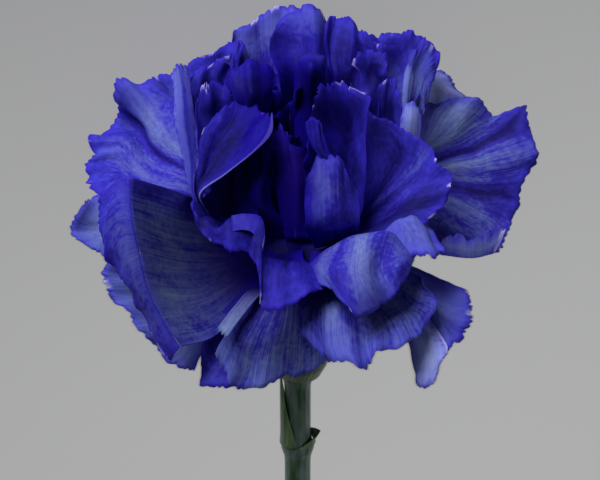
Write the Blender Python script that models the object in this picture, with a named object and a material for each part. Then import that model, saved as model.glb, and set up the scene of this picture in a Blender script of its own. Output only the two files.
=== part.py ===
# A double dianthus flower on a short cut stem, lying on a table.
# Lengths are in millimetres and angles in degrees; MM turns lengths into metres.
# The flower is modelled about its own axis: origin at the foot of the calyx, +Z up the
# axis to the bloom, +Y towards the table and -Y towards the side that faces up.

import math

import bmesh
import bpy
import numpy as np
from mathutils import Matrix

MM = 0.001

# How the flower lies: the axis slopes up from the cut end of the stem to the bloom
AXIS_SLOPE = 10.5
STEM_LENGTH = 96.0
STEM_RADIUS = 2.2
STEM_SIDES = 16

# Height of the calyx foot when the lowest facet of the cut end lies on the table
SLOPE_SINE = math.sin(math.radians(AXIS_SLOPE))
SLOPE_COSINE = math.cos(math.radians(AXIS_SLOPE))
FOOT_HEIGHT = STEM_RADIUS * math.cos(math.pi / STEM_SIDES) * SLOPE_COSINE + STEM_LENGTH * SLOPE_SINE

# The stem widens a little under the calyx
STEM_NECK = -2.0
STEM_TOP_RADIUS = 2.7

# The swollen joint below the bloom
JOINT_HEIGHT = -13.4
JOINT_RADIUS = 2.8
JOINT_LENGTH = 3.0

# Its pair of scale leaves: a low sheath, a long leaf that hugs the stem on the left and a
# short one on the right that flares out
SHEATH_FOOT = -12.5
SHEATH_TOP = -12.0
LEFT_LEAF_TIP = -0.8
LEFT_LEAF_HALF_ANGLE = 75
RIGHT_LEAF_TIP = -10.4
RIGHT_LEAF_HALF_ANGLE = 60
RIGHT_LEAF_FLARE = 1.1
FLARE_LENGTH = 2.0
LEAF_POINT = 1.2
LEAF_THICKNESS = 0.6
LEAF_CLEARANCE = 0.55

# The calyx: a tube with five teeth, closed below by the claws of the petals
CALYX_RADII = ((0.0, 3.0), (2.5, 4.2), (8.0, 5.2), (14.0, 6.1), (19.0, 6.9))
CALYX_FLOOR = 18.6
CALYX_MOUTH = 20.2
CALYX_TOOTH = 3.4
CALYX_WALL = 0.8
CALYX_MOUTH_RADIUS = 7.2
CALYX_MOUTH_WIDENING = 0.2
CALYX_TEETH = 5
CALYX_SIDES = 30
TEETH_ROOT_DEPTH = 1.5

# Four pointed scales round the foot of the calyx
SCALE_MIDDLES = (45, 135, 225, 315)
SCALE_HALF_ANGLE = 45
SCALE_FOOT = 0.2
SCALE_TOP = 8.6
SCALE_NOTCH = 1.6
SCALE_POINT = 1.3
SCALE_THICKNESS = 0.7
SCALE_CLEARANCE = 0.4

# Points round a ring of leaves and rows up it
LEAF_SIDES = 32
LEAF_ROWS = 5

# Clearance between neighbouring pieces
GAP = 0.3

# The core of the bloom, where the claws of the petals meet
CORE_RADII = ((CALYX_FLOOR + GAP, 5.9), (23.0, 5.9), (25.5, 8.5), (29.0, 10.0), (33.0, 10.0),
              (36.0, 7.5), (38.0, 2.0))
CORE_SIDES = 16

# Petal blades
BLADE_THICKNESS = 0.7
BLADE_TOOTH = 1.2
CLAW_HALF_WIDTH = 1.6

# Blades near the table flatten against it, each layer over the one below
PRESS_SOFTNESS = 1.2
PRESS_SINK = 0.2
PRESS_LAYER = 1.3

# What a petal has unless its own entry says otherwise: columns and rows of its blade, the
# layer that it is pressed on, notches in its margin as (place, depth, width), and the seed of
# its random folds
PETAL = dict(columns=8, rows=4, layer=0, notch=(), seed=1)

# The photo's view looks down on the bloom by this angle above the plane across the axis
VIEW_ELEVATION = 32.0

# The petals that the photo shows, drawn in the axes of that view as (across, up, near): each
# line runs across the petal, the first at its claw and the last along its margin
DRAWN_PETALS = dict(
    rightFan=dict(columns=12, lines=[
        [(4, 24, 13.5), (8, 20.5, 15)],
        [(15.8, 33.3, 15), (18.2, 35, 13), (21.5, 33.3, 12), (22.3, 30, 13), (20.7, 26.8, 15),
         (17.4, 24.9, 17)],
        [(19.5, 40.7, 14), (25.5, 40.5, 12), (29, 38.2, 10), (30.4, 34.5, 12.5), (30.2, 30, 13),
         (28.8, 26.5, 14.5), (26, 23.2, 16.5), (21.5, 22.2, 20)],
        [(21.5, 44.6, 12), (26.2, 45.2, 11), (29.9, 44.7, 10.5), (32.5, 42.2, 8.5), (37.1, 43.6, 10),
         (38, 39.3, 12), (38.4, 35.3, 13), (36.6, 31.7, 13), (35.9, 28.5, 14.5), (34.3, 25, 15.5),
         (33.5, 21.8, 18), (31.1, 20.5, 20), (27.2, 19.8, 21.5), (23.4, 20.2, 22)]]),
    leftFan=dict(columns=14, lines=[
        [(-3, 23, 12), (-4, 20, 12)],
        [(-14.5, 32, 16), (-17, 30.5, 16.5), (-16.5, 26.5, 17.5)],
        [(-17.6, 38.5, 15), (-20.3, 37.6, 12.5), (-22.6, 35, 12), (-23.6, 31.7, 14), (-22.6, 29, 17)],
        [(-17.9, 45.5, 13), (-21.6, 44.7, 10), (-24.9, 42.5, 9), (-26.5, 39.8, 7), (-27.8, 37, 9.5),
         (-29.5, 33.5, 11.5), (-28, 29.3, 15)],
        [(-17.1, 49.1, 14), (-19, 49.8, 12), (-22.6, 49, 10), (-25.2, 47, 8), (-27, 47.3, 8), (-29.3, 48, 10),
         (-30.4, 46, 11), (-28.8, 43.6, 8), (-29.6, 41.8, 7), (-31.2, 39.3, 7.5), (-33.5, 38, 9),
         (-31.5, 35.3, 10), (-34.5, 34.6, 12), (-34.7, 30.9, 14), (-32, 29.1, 16), (-29.8, 28, 17)]]),
    leftPale=dict(lines=[
        [(-5, 23, 13.5), (-5, 21, 13.5)],
        [(-18, 24, 17), (-18, 22, 17)],
        [(-28.1, 26.5, 18), (-31.5, 24.9, 17), (-31.8, 22, 18), (-29, 19.3, 19)],
        [(-29.5, 29, 17), (-31.9, 29, 17.5), (-33.3, 28, 17), (-35.9, 27.7, 18), (-36.9, 25, 19),
         (-36.6, 22, 19), (-35.1, 19.5, 20), (-32.2, 18.4, 20), (-29.5, 17.8, 20)]]),
    leftBowl=dict(rows=6, lines=[
        [(-4, 19.5, 16), (-4, 23, 17)],
        [(-5.5, 17.5, 19.5), (-7.5, 22, 20)],
        [(-7, 13.5, 19), (-11.5, 15.5, 18), (-13.5, 21, 18), (-13.5, 27, 21)],
        [(-12.5, 7, 23), (-17, 14, 22), (-19.5, 22, 23), (-18.5, 29.3, 27)],
        [(-18.4, 4.9, 28), (-20.5, 10.2, 29.5), (-22.4, 15.4, 31), (-24.1, 19.5, 32), (-25.2, 23.6, 33),
         (-25.7, 31.2, 34.5)],
        [(-19.8, 4, 26), (-22.6, 6.8, 26), (-25, 11, 26.5), (-27.4, 14.5, 27), (-29.6, 18, 28),
         (-30.4, 22, 29), (-30.3, 27.6, 30.5)]]),
    leftUnder=dict(lines=[
        [(-2.5, 20.5, 14), (-4, 22.5, 14.5)],
        [(-6.5, 16.5, 19.5), (-8.5, 19.5, 18)],
        [(-13, 8, 21), (-16, 13, 20), (-18, 19, 19)],
        [(-17, 1.5, 23), (-21.6, 4.6, 22), (-26.6, 9.2, 21), (-30.6, 14.5, 20), (-30.5, 20, 19)]]),
    lowLeft=dict(columns=6, lines=[
        [(-3, 20, 14), (0, 20, 14)],
        [(-6, 15.5, 20.5), (-2, 15.5, 21.5)],
        [(-10, 9, 21), (-4, 8, 23)],
        [(-17, 4.5, 22), (-16, -1.5, 23), (-10.4, -1.7, 24), (-6, 1, 25)]]),
    bottomLeft=dict(lines=[
        [(-3, 20.5, 15), (1, 20.5, 15)],
        [(-6.5, 12.5, 23), (-4, 12.5, 26), (0, 12.5, 27), (3.5, 13, 27)],
        [(-13.8, 4.2, 23), (-9.4, -1.4, 21), (-5, -1.2, 22), (0, -1.3, 22.5), (5.4, 3.2, 24)]]),
    bottomRight=dict(lines=[
        [(1, 20.5, 15), (6, 20.5, 15.5)],
        [(0, 14.5, 22), (5, 14, 27), (11, 15, 27), (15, 18, 23)],
        [(-1.3, 12, 26), (2.8, 7.2, 31), (9.3, 2.2, 35), (15.8, 5.5, 35), (20.2, 10, 31), (18.5, 17, 25)]]),
    rightDangle=dict(notch=((0.05, 4, 0.12),), lines=[
        [(7, 20.5, 14), (7, 22, 14)],
        [(17.2, 13, 21), (18, 16.5, 20), (17.5, 18.6, 18)],
        [(18.3, 4, 24), (20.8, -1.6, 26), (24, 3.5, 25), (28, 8, 22), (27.4, 13.6, 18)]]),
    frontLip=dict(rows=5, lines=[
        [(2, 21, 14), (8, 21.5, 15)],
        [(2, 18.5, 22), (8, 20.5, 24), (14, 21, 23), (18, 20, 20)],
        [(2.2, 18.6, 28), (7.8, 22.4, 30), (15, 23.2, 29), (19.5, 21, 25)],
        [(2.4, 16.8, 30), (7.6, 11.4, 35.5), (10.9, 10.6, 36.5), (15.8, 14.6, 35), (18, 18.6, 29)]]),
    rightLip=dict(columns=6, lines=[
        [(7.5, 21.5, 15), (8, 22.5, 15)],
        [(14.5, 22, 21), (17, 24, 22), (19, 24, 21)],
        [(15.8, 22, 26), (18.5, 24, 27.5), (20.5, 23.4, 25.5)],
        [(15.6, 21.3, 28), (18.4, 20.4, 30), (20.3, 19.4, 30), (22, 18.9, 29.5), (23.4, 20.3, 27.5)]]),
    frontFold=dict(lines=[
        [(-3.5, 21, 14), (1, 21, 14.5)],
        [(-11, 26, 21), (-8.5, 20, 23), (-4, 18, 24), (1, 19, 24)],
        [(-16.2, 27.8, 25), (-13.5, 23.6, 27), (-9, 20.6, 29), (-5.2, 19, 30.5), (-1, 17.4, 30.5),
         (2.2, 18.6, 29)],
        [(-16.6, 27.4, 26), (-14.2, 22, 28), (-10.6, 19.4, 31), (-6.4, 15, 33), (-4.6, 11.6, 34),
         (2, 13.6, 33)]]),
    centreFront=dict(columns=6, lines=[
        [(2.8, 20.5, 18), (8, 21.5, 18)],
        [(1.3, 25, 27), (5.2, 26, 30), (9.6, 25, 28)],
        [(1.5, 30, 28), (3.4, 33, 29.5), (5.4, 34.8, 30), (7.6, 32, 29.5), (9.4, 28.5, 28.5)]]),
    centreTop=dict(lines=[
        [(4.5, 23, 18), (8, 23, 18)],
        [(5.2, 28.5, 22), (7.6, 28.5, 21), (10.4, 27, 23)],
        [(4.4, 36.6, 25), (7.6, 37.4, 23), (10.7, 36.6, 26)],
        [(2, 41, 28), (2, 44.1, 28.5), (3.7, 45.5, 27.5), (6, 46.7, 27), (7.2, 47, 27), (9.4, 45.9, 27.5),
         (10.8, 43.6, 28.5)]]),
    rightStand=dict(lines=[
        [(6, 22, 15), (8, 21, 16)],
        [(10.8, 33, 21), (15, 31, 19), (17, 27, 21), (13.5, 23, 24)],
        [(10.9, 42.3, 23), (16.6, 39.8, 23), (22.6, 35, 25), (24.3, 32, 27), (21.5, 26.6, 28),
         (16.6, 23.8, 27)]]),
    leftStand=dict(lines=[
        [(-4, 21, 17), (-1.5, 23, 18)],
        [(-16.5, 29, 23.5), (-13.5, 30.5, 25)],
        [(-16.7, 36.6, 22), (-13.5, 37.4, 19), (-9.4, 36.6, 20), (-7.9, 36.6, 25.5)],
        [(-15.4, 41.8, 22), (-14.3, 45, 20), (-12, 47.3, 19), (-10.9, 45.9, 20), (-8.8, 44.9, 20.5),
         (-5.7, 42.9, 23.5), (-4.2, 41.6, 28)]]),
    paleHood=dict(layer=2, lines=[
        [(-2, 24, 9), (1, 24, 9)],
        [(-8.6, 48.3, 12), (-6.5, 49.6, 11), (-4.2, 49.9, 11)],
        [(-11.5, 54.3, 12), (-9.6, 56.7, 10.5), (-6.8, 57.9, 10), (-4.6, 59.5, 9.5), (-1.1, 60, 9.5),
         (0.3, 59.7, 9.5)]]),
    brightHood=dict(layer=2, lines=[
        [(-1.5, 24, 9), (1.5, 24, 9)],
        [(-2.9, 48.8, 15), (-1.1, 49.3, 13), (1.1, 48.8, 15)],
        [(-4.5, 54.5, 15), (-2.3, 57.7, 12.5), (-0.3, 58.9, 12), (1.3, 59.3, 12), (2.9, 58.9, 12.5),
         (4.7, 57, 15)]]),
    leftHood=dict(layer=2, lines=[
        [(-3, 23, 9), (-1, 23, 9)],
        [(-15.1, 44.7, 15), (-11.9, 46.7, 13), (-9.4, 47.2, 15)],
        [(-19.3, 49.3, 15), (-17.4, 51.7, 13), (-14.5, 53, 12), (-11.5, 54, 13), (-10.1, 54.1, 14)]]),
    darkRound=dict(columns=6, lines=[
        [(-2, 24, 14), (0, 24, 14)],
        [(-8.6, 43.5, 18), (-7, 43.8, 16), (-5.2, 43.5, 18)],
        [(-10.9, 46.8, 20), (-9.6, 48.8, 19), (-6.2, 49.9, 19), (-3.9, 48.9, 20), (-3.3, 46.5, 22)]]),
    crumpledTop=dict(lines=[
        [(2, 25, 12), (4, 25, 12)],
        [(4.6, 48.8, 19), (6.3, 48.8, 17), (8, 48, 19)],
        [(3.4, 55.9, 16), (5, 57.2, 15), (7, 57.9, 15), (8.6, 57.4, 16), (9.1, 54.5, 17)]]),
    rightHood=dict(layer=2, lines=[
        [(3, 24.5, 10), (6, 24.5, 10)],
        [(10.1, 50, 12), (13.3, 51.5, 10.5), (16.6, 51.5, 10.5), (19, 50, 12)],
        [(8.9, 53.8, 13), (11.2, 55.3, 12), (14.4, 56, 11.5), (17.6, 55.6, 11.5), (20.5, 54.6, 12),
         (22, 51.9, 12.5), (22.1, 49.4, 13.5)]]),
    rightDark=dict(columns=6, lines=[
        [(3, 24, 14), (5, 24, 14)],
        [(9.6, 46, 19), (11.7, 46.5, 16.5), (14.2, 46, 17.5)],
        [(8.8, 50.6, 20), (10.6, 51.3, 18.5), (12.7, 52.4, 17.5), (14, 52.8, 17.5), (15.2, 51, 18.5),
         (15.6, 47.6, 19.5)]]),
    rightPale=dict(columns=6, lines=[
        [(5, 24, 12.5), (7, 24, 12.5)],
        [(17.5, 44, 16), (18.2, 46, 14), (18.8, 44, 15)],
        [(18.7, 51, 16), (20.5, 51.9, 15), (22.1, 51.5, 15), (22.5, 48.8, 15), (22, 46, 16),
         (19.5, 42.4, 17.5)]]),
)

# The petals that the photo hides or half hides are grown from rays. A petal leaves the core at
# the azimuth, at this radius (root) and height (rise). Its rays fan out by spread on each
# side; lean is their angle above the plane across the axis, at the root and at the tip; cup
# lifts both sides, roll turns the blade about its middle ray; wave holds the count, angle and
# phase of its folds, and ruffle is the size of the smaller ones.
RAYS = dict(azimuth=0, length=34, spread=28, lean=(45, 5), bend=0.7, cup=(8, 4), roll=0,
            wave=(2.5, 14, 0), ruffle=8, corner=0.22, root=4, rise=25)

GROWN_PETALS = dict(
    rightBack=dict(azimuth=40, length=31, spread=30, lean=(60, 36), bend=0.6, cup=(15, 10),
                   wave=(2.5, 12, 0), root=5, layer=3, seed=4),
    topRight=dict(azimuth=46, length=31, lean=(78, 46), bend=0.9, cup=(25, 20), wave=(3, 20, 90), rise=27,
                  layer=4, seed=5),
    topBack=dict(azimuth=92, length=33, spread=24, lean=(80, 50), bend=0.9, cup=(30, 22), wave=(2.5, 14, 200),
                 rise=27, layer=4, seed=7),
    topLeft=dict(azimuth=125, length=29, lean=(76, 42), bend=0.8, cup=(25, 15), wave=(3, 20, 70), rise=27,
                 layer=4, seed=9),
    tableRight=dict(azimuth=63, length=35, lean=(42, -4), bend=0.6, cup=(6, 2), wave=(2, 5, 0), root=5,
                    rise=24.5, rows=6, seed=90),
    tableLeft=dict(azimuth=120, length=35, lean=(42, -4), bend=0.6, cup=(6, 2), wave=(2, 5, 60), root=5,
                   rise=24.5, rows=6, seed=91),
    tableMiddle=dict(azimuth=91, length=34, spread=36, lean=(48, 10), bend=0.6, wave=(3, 8, 0), root=5,
                     layer=1, seed=92),
)

# Powers of the distance along a ray: the rows draw apart towards the root, the corners of the
# outline are rounded, teeth cut the last row alone, and folds grow towards the margin
ROW_POWER = 0.85
CORNER_POWER = 4
TOOTH_POWER = 6
FOLD_POWER = 1.3
RUFFLE_POWER = 2.5
OUTLINE_NOISE = 0.03

# The crumpled tuft round the eye: petals at steps of the golden angle, shorter and nearer the
# axis towards the middle, and none in the hollow that opens on the side that faces up. Each
# pair gives the value of the outermost petal and of the innermost.
TUFT = dict(count=12, first_angle=20, golden_angle=137.5, seed=5, length=(25, 14), root=(9, 1.5),
            root_lean=(82, 86), tip_lean=(74, 84), roll=15, folds=(3, 14), hollow_angle=-118,
            hollow_width=75)
TUFT_PETAL = dict(spread=20, bend=1.0, cup=(55, 60), ruffle=10, rise=27, layer=5, columns=5, rows=3)

PETAL_COLOUR = (0.045, 0.035, 0.42)
CALYX_COLOUR = (0.10, 0.20, 0.10)
STEM_COLOUR = (0.13, 0.24, 0.15)


# Smooth noise of x between about -1 and 1: a sum of five sines with counts from low to high
def ripple(x, rng, low, high):
    terms, smallest = 5, 0.6
    counts = rng.uniform(low, high, terms)
    phases = rng.uniform(0, 2 * math.pi, terms)
    sizes = rng.uniform(smallest, 1.0, terms)
    waves = sizes[:, None] * np.sin(counts[:, None] * math.pi * x[None, :] + phases[:, None])
    return waves.sum(0) / (smallest * terms)


# How far each point of the margin is cut back: every second one by a tooth, and the notches
def margin_cut(s):
    u = np.linspace(-1, 1, s["columns"] + 1)
    cut = BLADE_TOOTH * (np.arange(s["columns"] + 1) % 2)
    for place, depth, width in s["notch"]:
        cut = cut + depth * np.clip(1 - np.abs(u - place) / max(width, 1 / s["columns"]), 0, 1)
    return cut


# From the view's across, up and near to the flower's frame
def from_view(points):
    across, up, near = np.moveaxis(np.asarray(points, float), -1, 0)
    sine, cosine = math.sin(math.radians(VIEW_ELEVATION)), math.cos(math.radians(VIEW_ELEVATION))
    return np.stack([across, up * sine - near * cosine, up * cosine + near * sine], -1)


# A Catmull-Rom curve through points, or through whole lines of them, at places from 0 to 1
def curve_through(points, places):
    points = np.asarray(points, float)
    padded = np.concatenate([[2 * points[0] - points[1]], points, [2 * points[-1] - points[-2]]])
    place = places * (len(points) - 1)
    first = np.minimum(place.astype(int), len(points) - 2)
    f = (place - first).reshape((-1,) + (1,) * (points.ndim - 1))
    a, b, c, d = (padded[first + i] for i in range(4))
    return 0.5 * (2 * b + (c - a) * f + (2 * a - 5 * b + 4 * c - d) * f ** 2
                  + (3 * b - a - 3 * c + d) * f ** 3)


# Places from 0 to 1 that part a curve into steps of equal length
def even_places(points, count):
    dense = np.linspace(0, 1, 200)
    steps = np.linalg.norm(np.diff(curve_through(points, dense), axis=0), axis=-1)
    walked = np.concatenate([[0], np.cumsum(steps)])
    return np.interp(np.linspace(0, walked[-1], count + 1), walked, dense)


# The middle surface of a drawn petal, row by row from its claw: a smooth surface through its
# lines, with the margin cut back towards the row before it
def drawn_surface(s):
    lines = [from_view(line) for line in s["lines"]]
    places = even_places(lines[-1], s["columns"])
    strands = np.stack([curve_through(line, places) for line in lines])
    surface = curve_through(strands, even_places(strands[:, s["columns"] // 2], s["rows"]))
    back = surface[-2] - surface[-1]
    surface[-1] += back / np.linalg.norm(back, axis=-1, keepdims=True) * margin_cut(s)[:, None]
    return surface


# The middle surface of a grown petal, row by row from its root: each ray is the sum of short
# steps whose direction turns with lean, cup, roll and the waves
def grown_surface(s):
    rng = np.random.default_rng(s["seed"] + 100)
    u = np.linspace(-1, 1, s["columns"] + 1)
    v = np.linspace(0, 1, s["rows"] + 1) ** ROW_POWER
    outline = 1 - s["corner"] * np.abs(u) ** CORNER_POWER + OUTLINE_NOISE * ripple(u, rng, 1, 3)
    reach = v[:, None] * s["length"] * outline - v[:, None] ** TOOTH_POWER * margin_cut(s)
    t = reach / s["length"]
    u = np.broadcast_to(u, t.shape)
    count, angle, phase = s["wave"]
    fold = np.radians(angle) * t ** FOLD_POWER * np.sin(count * math.pi * u / 2 + math.radians(phase))
    fold = fold + math.radians(s["ruffle"]) * t ** RUFFLE_POWER * ripple(u[0], rng, 2.5, 6)
    lean = s["lean"][0] + (s["lean"][1] - s["lean"][0]) * np.clip(t, 0, 1.2) ** s["bend"]
    lean = np.radians(lean)
    cup = np.radians(s["cup"][0] + (s["cup"][1] - s["cup"][0]) * t) * np.abs(u)
    azimuth = math.radians(s["azimuth"])
    roll = math.radians(s["roll"])
    out = np.array([math.cos(azimuth), math.sin(azimuth), 0])
    across = np.array([-math.sin(azimuth), math.cos(azimuth), 0])
    up = np.array([0.0, 0.0, 1.0])
    ahead = np.cos(lean)[..., None] * out + np.sin(lean)[..., None] * up
    above = -np.sin(lean)[..., None] * out + np.cos(lean)[..., None] * up
    side = math.cos(roll) * across + math.sin(roll) * above
    normal = -math.sin(roll) * across + math.cos(roll) * above
    sign = np.where(u < 0, -1.0, 1.0)[..., None]
    lateral = np.cos(cup)[..., None] * side * sign + np.sin(cup)[..., None] * normal
    forward = np.cos(fold)[..., None] * ahead + np.sin(fold)[..., None] * normal
    turn = np.abs(u * math.radians(s["spread"]))[..., None]
    direction = np.cos(turn) * forward + np.sin(turn) * lateral
    step = np.diff(reach, axis=0)[..., None] * 0.5 * (direction[1:] + direction[:-1])
    root = s["root"] * out + s["rise"] * up + CLAW_HALF_WIDTH * u[0][:, None] * side[0]
    return np.concatenate([root[None], root + np.cumsum(step, axis=0)])


# Height above the table of points in the flower's frame
def height(points):
    return FOOT_HEIGHT - points[..., 1] * SLOPE_COSINE + points[..., 2] * SLOPE_SINE


# Moves points along the vertical by the given rise
def lift(points, rise):
    return points + rise[..., None] * np.array([0.0, -SLOPE_COSINE, SLOPE_SINE])


# Flattens a blade on to the level of its layer: heights well above the level stay, and
# those below it end up on it
def press(points, layer):
    level = BLADE_THICKNESS / 2 - PRESS_SINK + layer * PRESS_LAYER
    above = height(points) - level
    pressed = PRESS_SOFTNESS * np.logaddexp(0, above / PRESS_SOFTNESS)
    return lift(points, pressed - above)


# Unit normals of a grid of points
def grid_normals(points):
    along = np.gradient(points, axis=0)
    across = np.gradient(points, axis=1)
    normal = np.cross(along, across)
    return normal / np.linalg.norm(normal, axis=-1, keepdims=True)


# The two skins of a thin blade joined round their border, in triangles split alike on
# both faces
def blade_mesh(name, upper, lower):
    rows, columns = upper.shape[:2]
    count = rows * columns
    index = np.arange(count).reshape(rows, columns)
    a, b = index[:-1, :-1].ravel(), index[:-1, 1:].ravel()
    c, d = index[1:, 1:].ravel(), index[1:, :-1].ravel()
    top = np.concatenate([np.stack([a, b, c], 1), np.stack([a, c, d], 1)])
    bottom = top[:, ::-1] + count
    border = np.concatenate([index[0], index[1:, -1], index[-1, -2::-1], index[-2:0:-1, 0]])
    after = np.roll(border, -1)
    wall = np.concatenate([np.stack([after, border, border + count], 1),
                           np.stack([after, border + count, after + count], 1)])
    vertices = np.concatenate([upper.reshape(-1, 3), lower.reshape(-1, 3)])
    return mesh_object(name, vertices, np.concatenate([top, bottom, wall]))


# A mesh object from points in millimetres, with its faces turned outwards
def mesh_object(name, vertices, faces):
    mesh = bpy.data.meshes.new(name)
    mesh.from_pydata((np.asarray(vertices) * MM).tolist(), [], np.asarray(faces).tolist())
    shape = bmesh.new()
    shape.from_mesh(mesh)
    bmesh.ops.recalc_face_normals(shape, faces=shape.faces)
    shape.to_mesh(mesh)
    shape.free()
    mesh.validate()
    piece = bpy.data.objects.new(name, mesh)
    bpy.context.scene.collection.objects.link(piece)
    return piece


# One petal as a closed blade
def petal_blade(name, spec):
    s = {**PETAL, **RAYS, **spec}
    surface = drawn_surface if "lines" in s else grown_surface
    middle = press(surface(s), s["layer"])
    offset = BLADE_THICKNESS / 2 * grid_normals(middle)
    skins = [middle + offset, middle - offset]
    skins = [lift(skin, np.maximum(-height(skin), 0)) for skin in skins]
    return blade_mesh(name, *skins)


# A turned solid from (height, radius) pairs, closed by flat ends
def turned(name, profile, sides):
    angles = 2 * math.pi * (np.arange(sides) + 0.5) / sides
    rings = [np.stack([r * np.cos(angles), r * np.sin(angles), np.full(sides, z)], 1)
             for z, r in profile]
    vertices = np.concatenate(rings)
    index = np.arange(len(vertices)).reshape(len(profile), sides)
    after = np.roll(index, -1, axis=1)
    quads = np.stack([index[:-1], after[:-1], after[1:], index[1:]], -1).reshape(-1, 4)
    faces = quads.tolist() + [index[0][::-1].tolist(), index[-1].tolist()]
    mesh = bpy.data.meshes.new(name)
    mesh.from_pydata((vertices * MM).tolist(), [], faces)
    piece = bpy.data.objects.new(name, mesh)
    bpy.context.scene.collection.objects.link(piece)
    return piece


# A thin ring of leaves: a wall from bottom up to top(angle), its inner face at
# inner(height, angle); it closes on itself round the axis
def crown(name, bottom, top, inner, thickness, sides, rows):
    angles = 2 * math.pi * np.arange(sides) / sides
    share = np.linspace(0, 1, rows + 1)[:, None]
    z = bottom + share * (top(angles) - bottom)[None, :]
    radius = inner(z, angles[None, :])
    around = np.stack([np.cos(angles), np.sin(angles)], -1)
    inside = np.concatenate([radius[..., None] * around, z[..., None]], -1)
    outside = np.concatenate([(radius + thickness)[..., None] * around, z[..., None]], -1)
    count = (rows + 1) * sides
    index = np.arange(count).reshape(rows + 1, sides)
    after = np.roll(index, -1, axis=1)
    a, b = index[:-1].ravel(), after[:-1].ravel()
    c, d = after[1:].ravel(), index[1:].ravel()
    outer = np.concatenate([np.stack([a, b, c], 1), np.stack([a, c, d], 1)])
    walls = [outer, outer[:, ::-1] + count]
    for edge, turn in ((index[0], 1), (index[-1], -1)):
        beside = np.roll(edge, -turn)
        walls.append(np.stack([beside, edge, edge + count], 1))
        walls.append(np.stack([beside, edge + count, beside + count], 1))
    vertices = np.concatenate([outside.reshape(-1, 3), inside.reshape(-1, 3)])
    return mesh_object(name, vertices, np.concatenate(walls))


# Distance of an angle from a leaf's middle, 0 there and 1 at its edge
def leaf_share(angles, middle, half_width):
    away = np.abs((angles - math.radians(middle) + math.pi) % (2 * math.pi) - math.pi)
    return np.clip(away / math.radians(half_width), 0, 1)


# Joins the solids of a collection to a piece and removes them
def unite(piece, parts):
    collection = bpy.data.collections.new(piece.name + "_parts")
    bpy.context.scene.collection.children.link(collection)
    for part in parts:
        bpy.context.scene.collection.objects.unlink(part)
        collection.objects.link(part)
    joined = piece.modifiers.new("join", "BOOLEAN")
    joined.operation = "UNION"
    joined.operand_type = "COLLECTION"
    joined.collection = collection
    joined.solver = "EXACT"
    bpy.context.view_layer.objects.active = piece
    bpy.ops.object.modifier_apply(modifier=joined.name)
    for part in parts:
        bpy.data.objects.remove(part)
    bpy.data.collections.remove(collection)
    keep_body(piece)


# Fills the hollows that joining sealed and drops loose scraps: only the largest of the
# separate surfaces stays
def keep_body(piece):
    shape = bmesh.new()
    shape.from_mesh(piece.data)
    left = set(shape.faces)
    bodies = []
    while left:
        found = [left.pop()]
        for face in found:
            beside = {f for edge in face.edges for f in edge.link_faces} & left
            left -= beside
            found.extend(beside)
        bodies.append(found)
    bodies.sort(key=len)
    for body in bodies[:-1]:
        bmesh.ops.delete(shape, geom=body, context="FACES")
    shape.to_mesh(piece.data)
    shape.free()


# The petals of the tuft, as entries for grown petals
def tuft_petals():
    rng = np.random.default_rng(TUFT["seed"])
    petals = {}
    for i in range(TUFT["count"]):
        azimuth = TUFT["golden_angle"] * i + TUFT["first_angle"]
        away = abs((azimuth - TUFT["hollow_angle"] + 180) % 360 - 180)
        if away > TUFT["hollow_width"]:
            share = i / (TUFT["count"] - 1)
            length, root, root_lean, tip_lean = (
                TUFT[key][0] + (TUFT[key][1] - TUFT[key][0]) * share
                for key in ("length", "root", "root_lean", "tip_lean"))
            roll = rng.uniform(-TUFT["roll"], TUFT["roll"])
            petals[f"tuft{i}"] = dict(
                TUFT_PETAL, azimuth=azimuth, length=length, root=root, lean=(root_lean, tip_lean),
                roll=roll, wave=(*TUFT["folds"], rng.uniform(0, 360)), seed=60 + i)
    return petals


def bloom():
    core = turned("bloom", CORE_RADII, CORE_SIDES)
    petals = {**DRAWN_PETALS, **GROWN_PETALS, **tuft_petals()}
    unite(core, [petal_blade(name, spec) for name, spec in petals.items()])
    return core


def calyx():
    heights, radii = zip(*CALYX_RADII)

    def rim(angles):
        tooth = 1 - np.abs((angles * CALYX_TEETH / math.pi) % 2 - 1)
        return CALYX_MOUTH + CALYX_TOOTH * tooth

    def inner(z, angles):
        rise = np.clip((z - CALYX_FLOOR) / (CALYX_MOUTH - CALYX_FLOOR), 0, 1)
        return CALYX_MOUTH_RADIUS - CALYX_WALL - CALYX_MOUTH_WIDENING * (1 - rise) + 0 * angles

    profile = [p for p in CALYX_RADII if p[0] < CALYX_FLOOR]
    profile.append((CALYX_FLOOR, float(np.interp(CALYX_FLOOR, heights, radii))))
    body = turned("calyx", profile, CALYX_SIDES)
    teeth = crown("teeth", CALYX_FLOOR - TEETH_ROOT_DEPTH, rim, inner, CALYX_WALL, CALYX_SIDES, 2)
    unite(body, [teeth])
    return body


def calyx_scales():
    heights, radii = zip(*CALYX_RADII)

    def rim(angles):
        pointed = [1 - leaf_share(angles, middle, SCALE_HALF_ANGLE) for middle in SCALE_MIDDLES]
        return SCALE_NOTCH + (SCALE_TOP - SCALE_NOTCH) * np.max(pointed, axis=0) ** SCALE_POINT

    def inner(z, angles):
        return np.interp(z, heights, radii) + SCALE_CLEARANCE + 0 * angles

    return crown("calyx_scales", SCALE_FOOT, rim, inner, SCALE_THICKNESS, LEAF_SIDES, LEAF_ROWS)


def stem():
    half = JOINT_LENGTH / 2
    profile = [(-STEM_LENGTH, STEM_RADIUS), (JOINT_HEIGHT - half, STEM_RADIUS),
               (JOINT_HEIGHT - half / 2, JOINT_RADIUS), (JOINT_HEIGHT, JOINT_RADIUS),
               (JOINT_HEIGHT + half / 2, STEM_RADIUS), (STEM_NECK, STEM_RADIUS), (-GAP, STEM_TOP_RADIUS)]
    return turned("stem", profile, STEM_SIDES)


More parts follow.
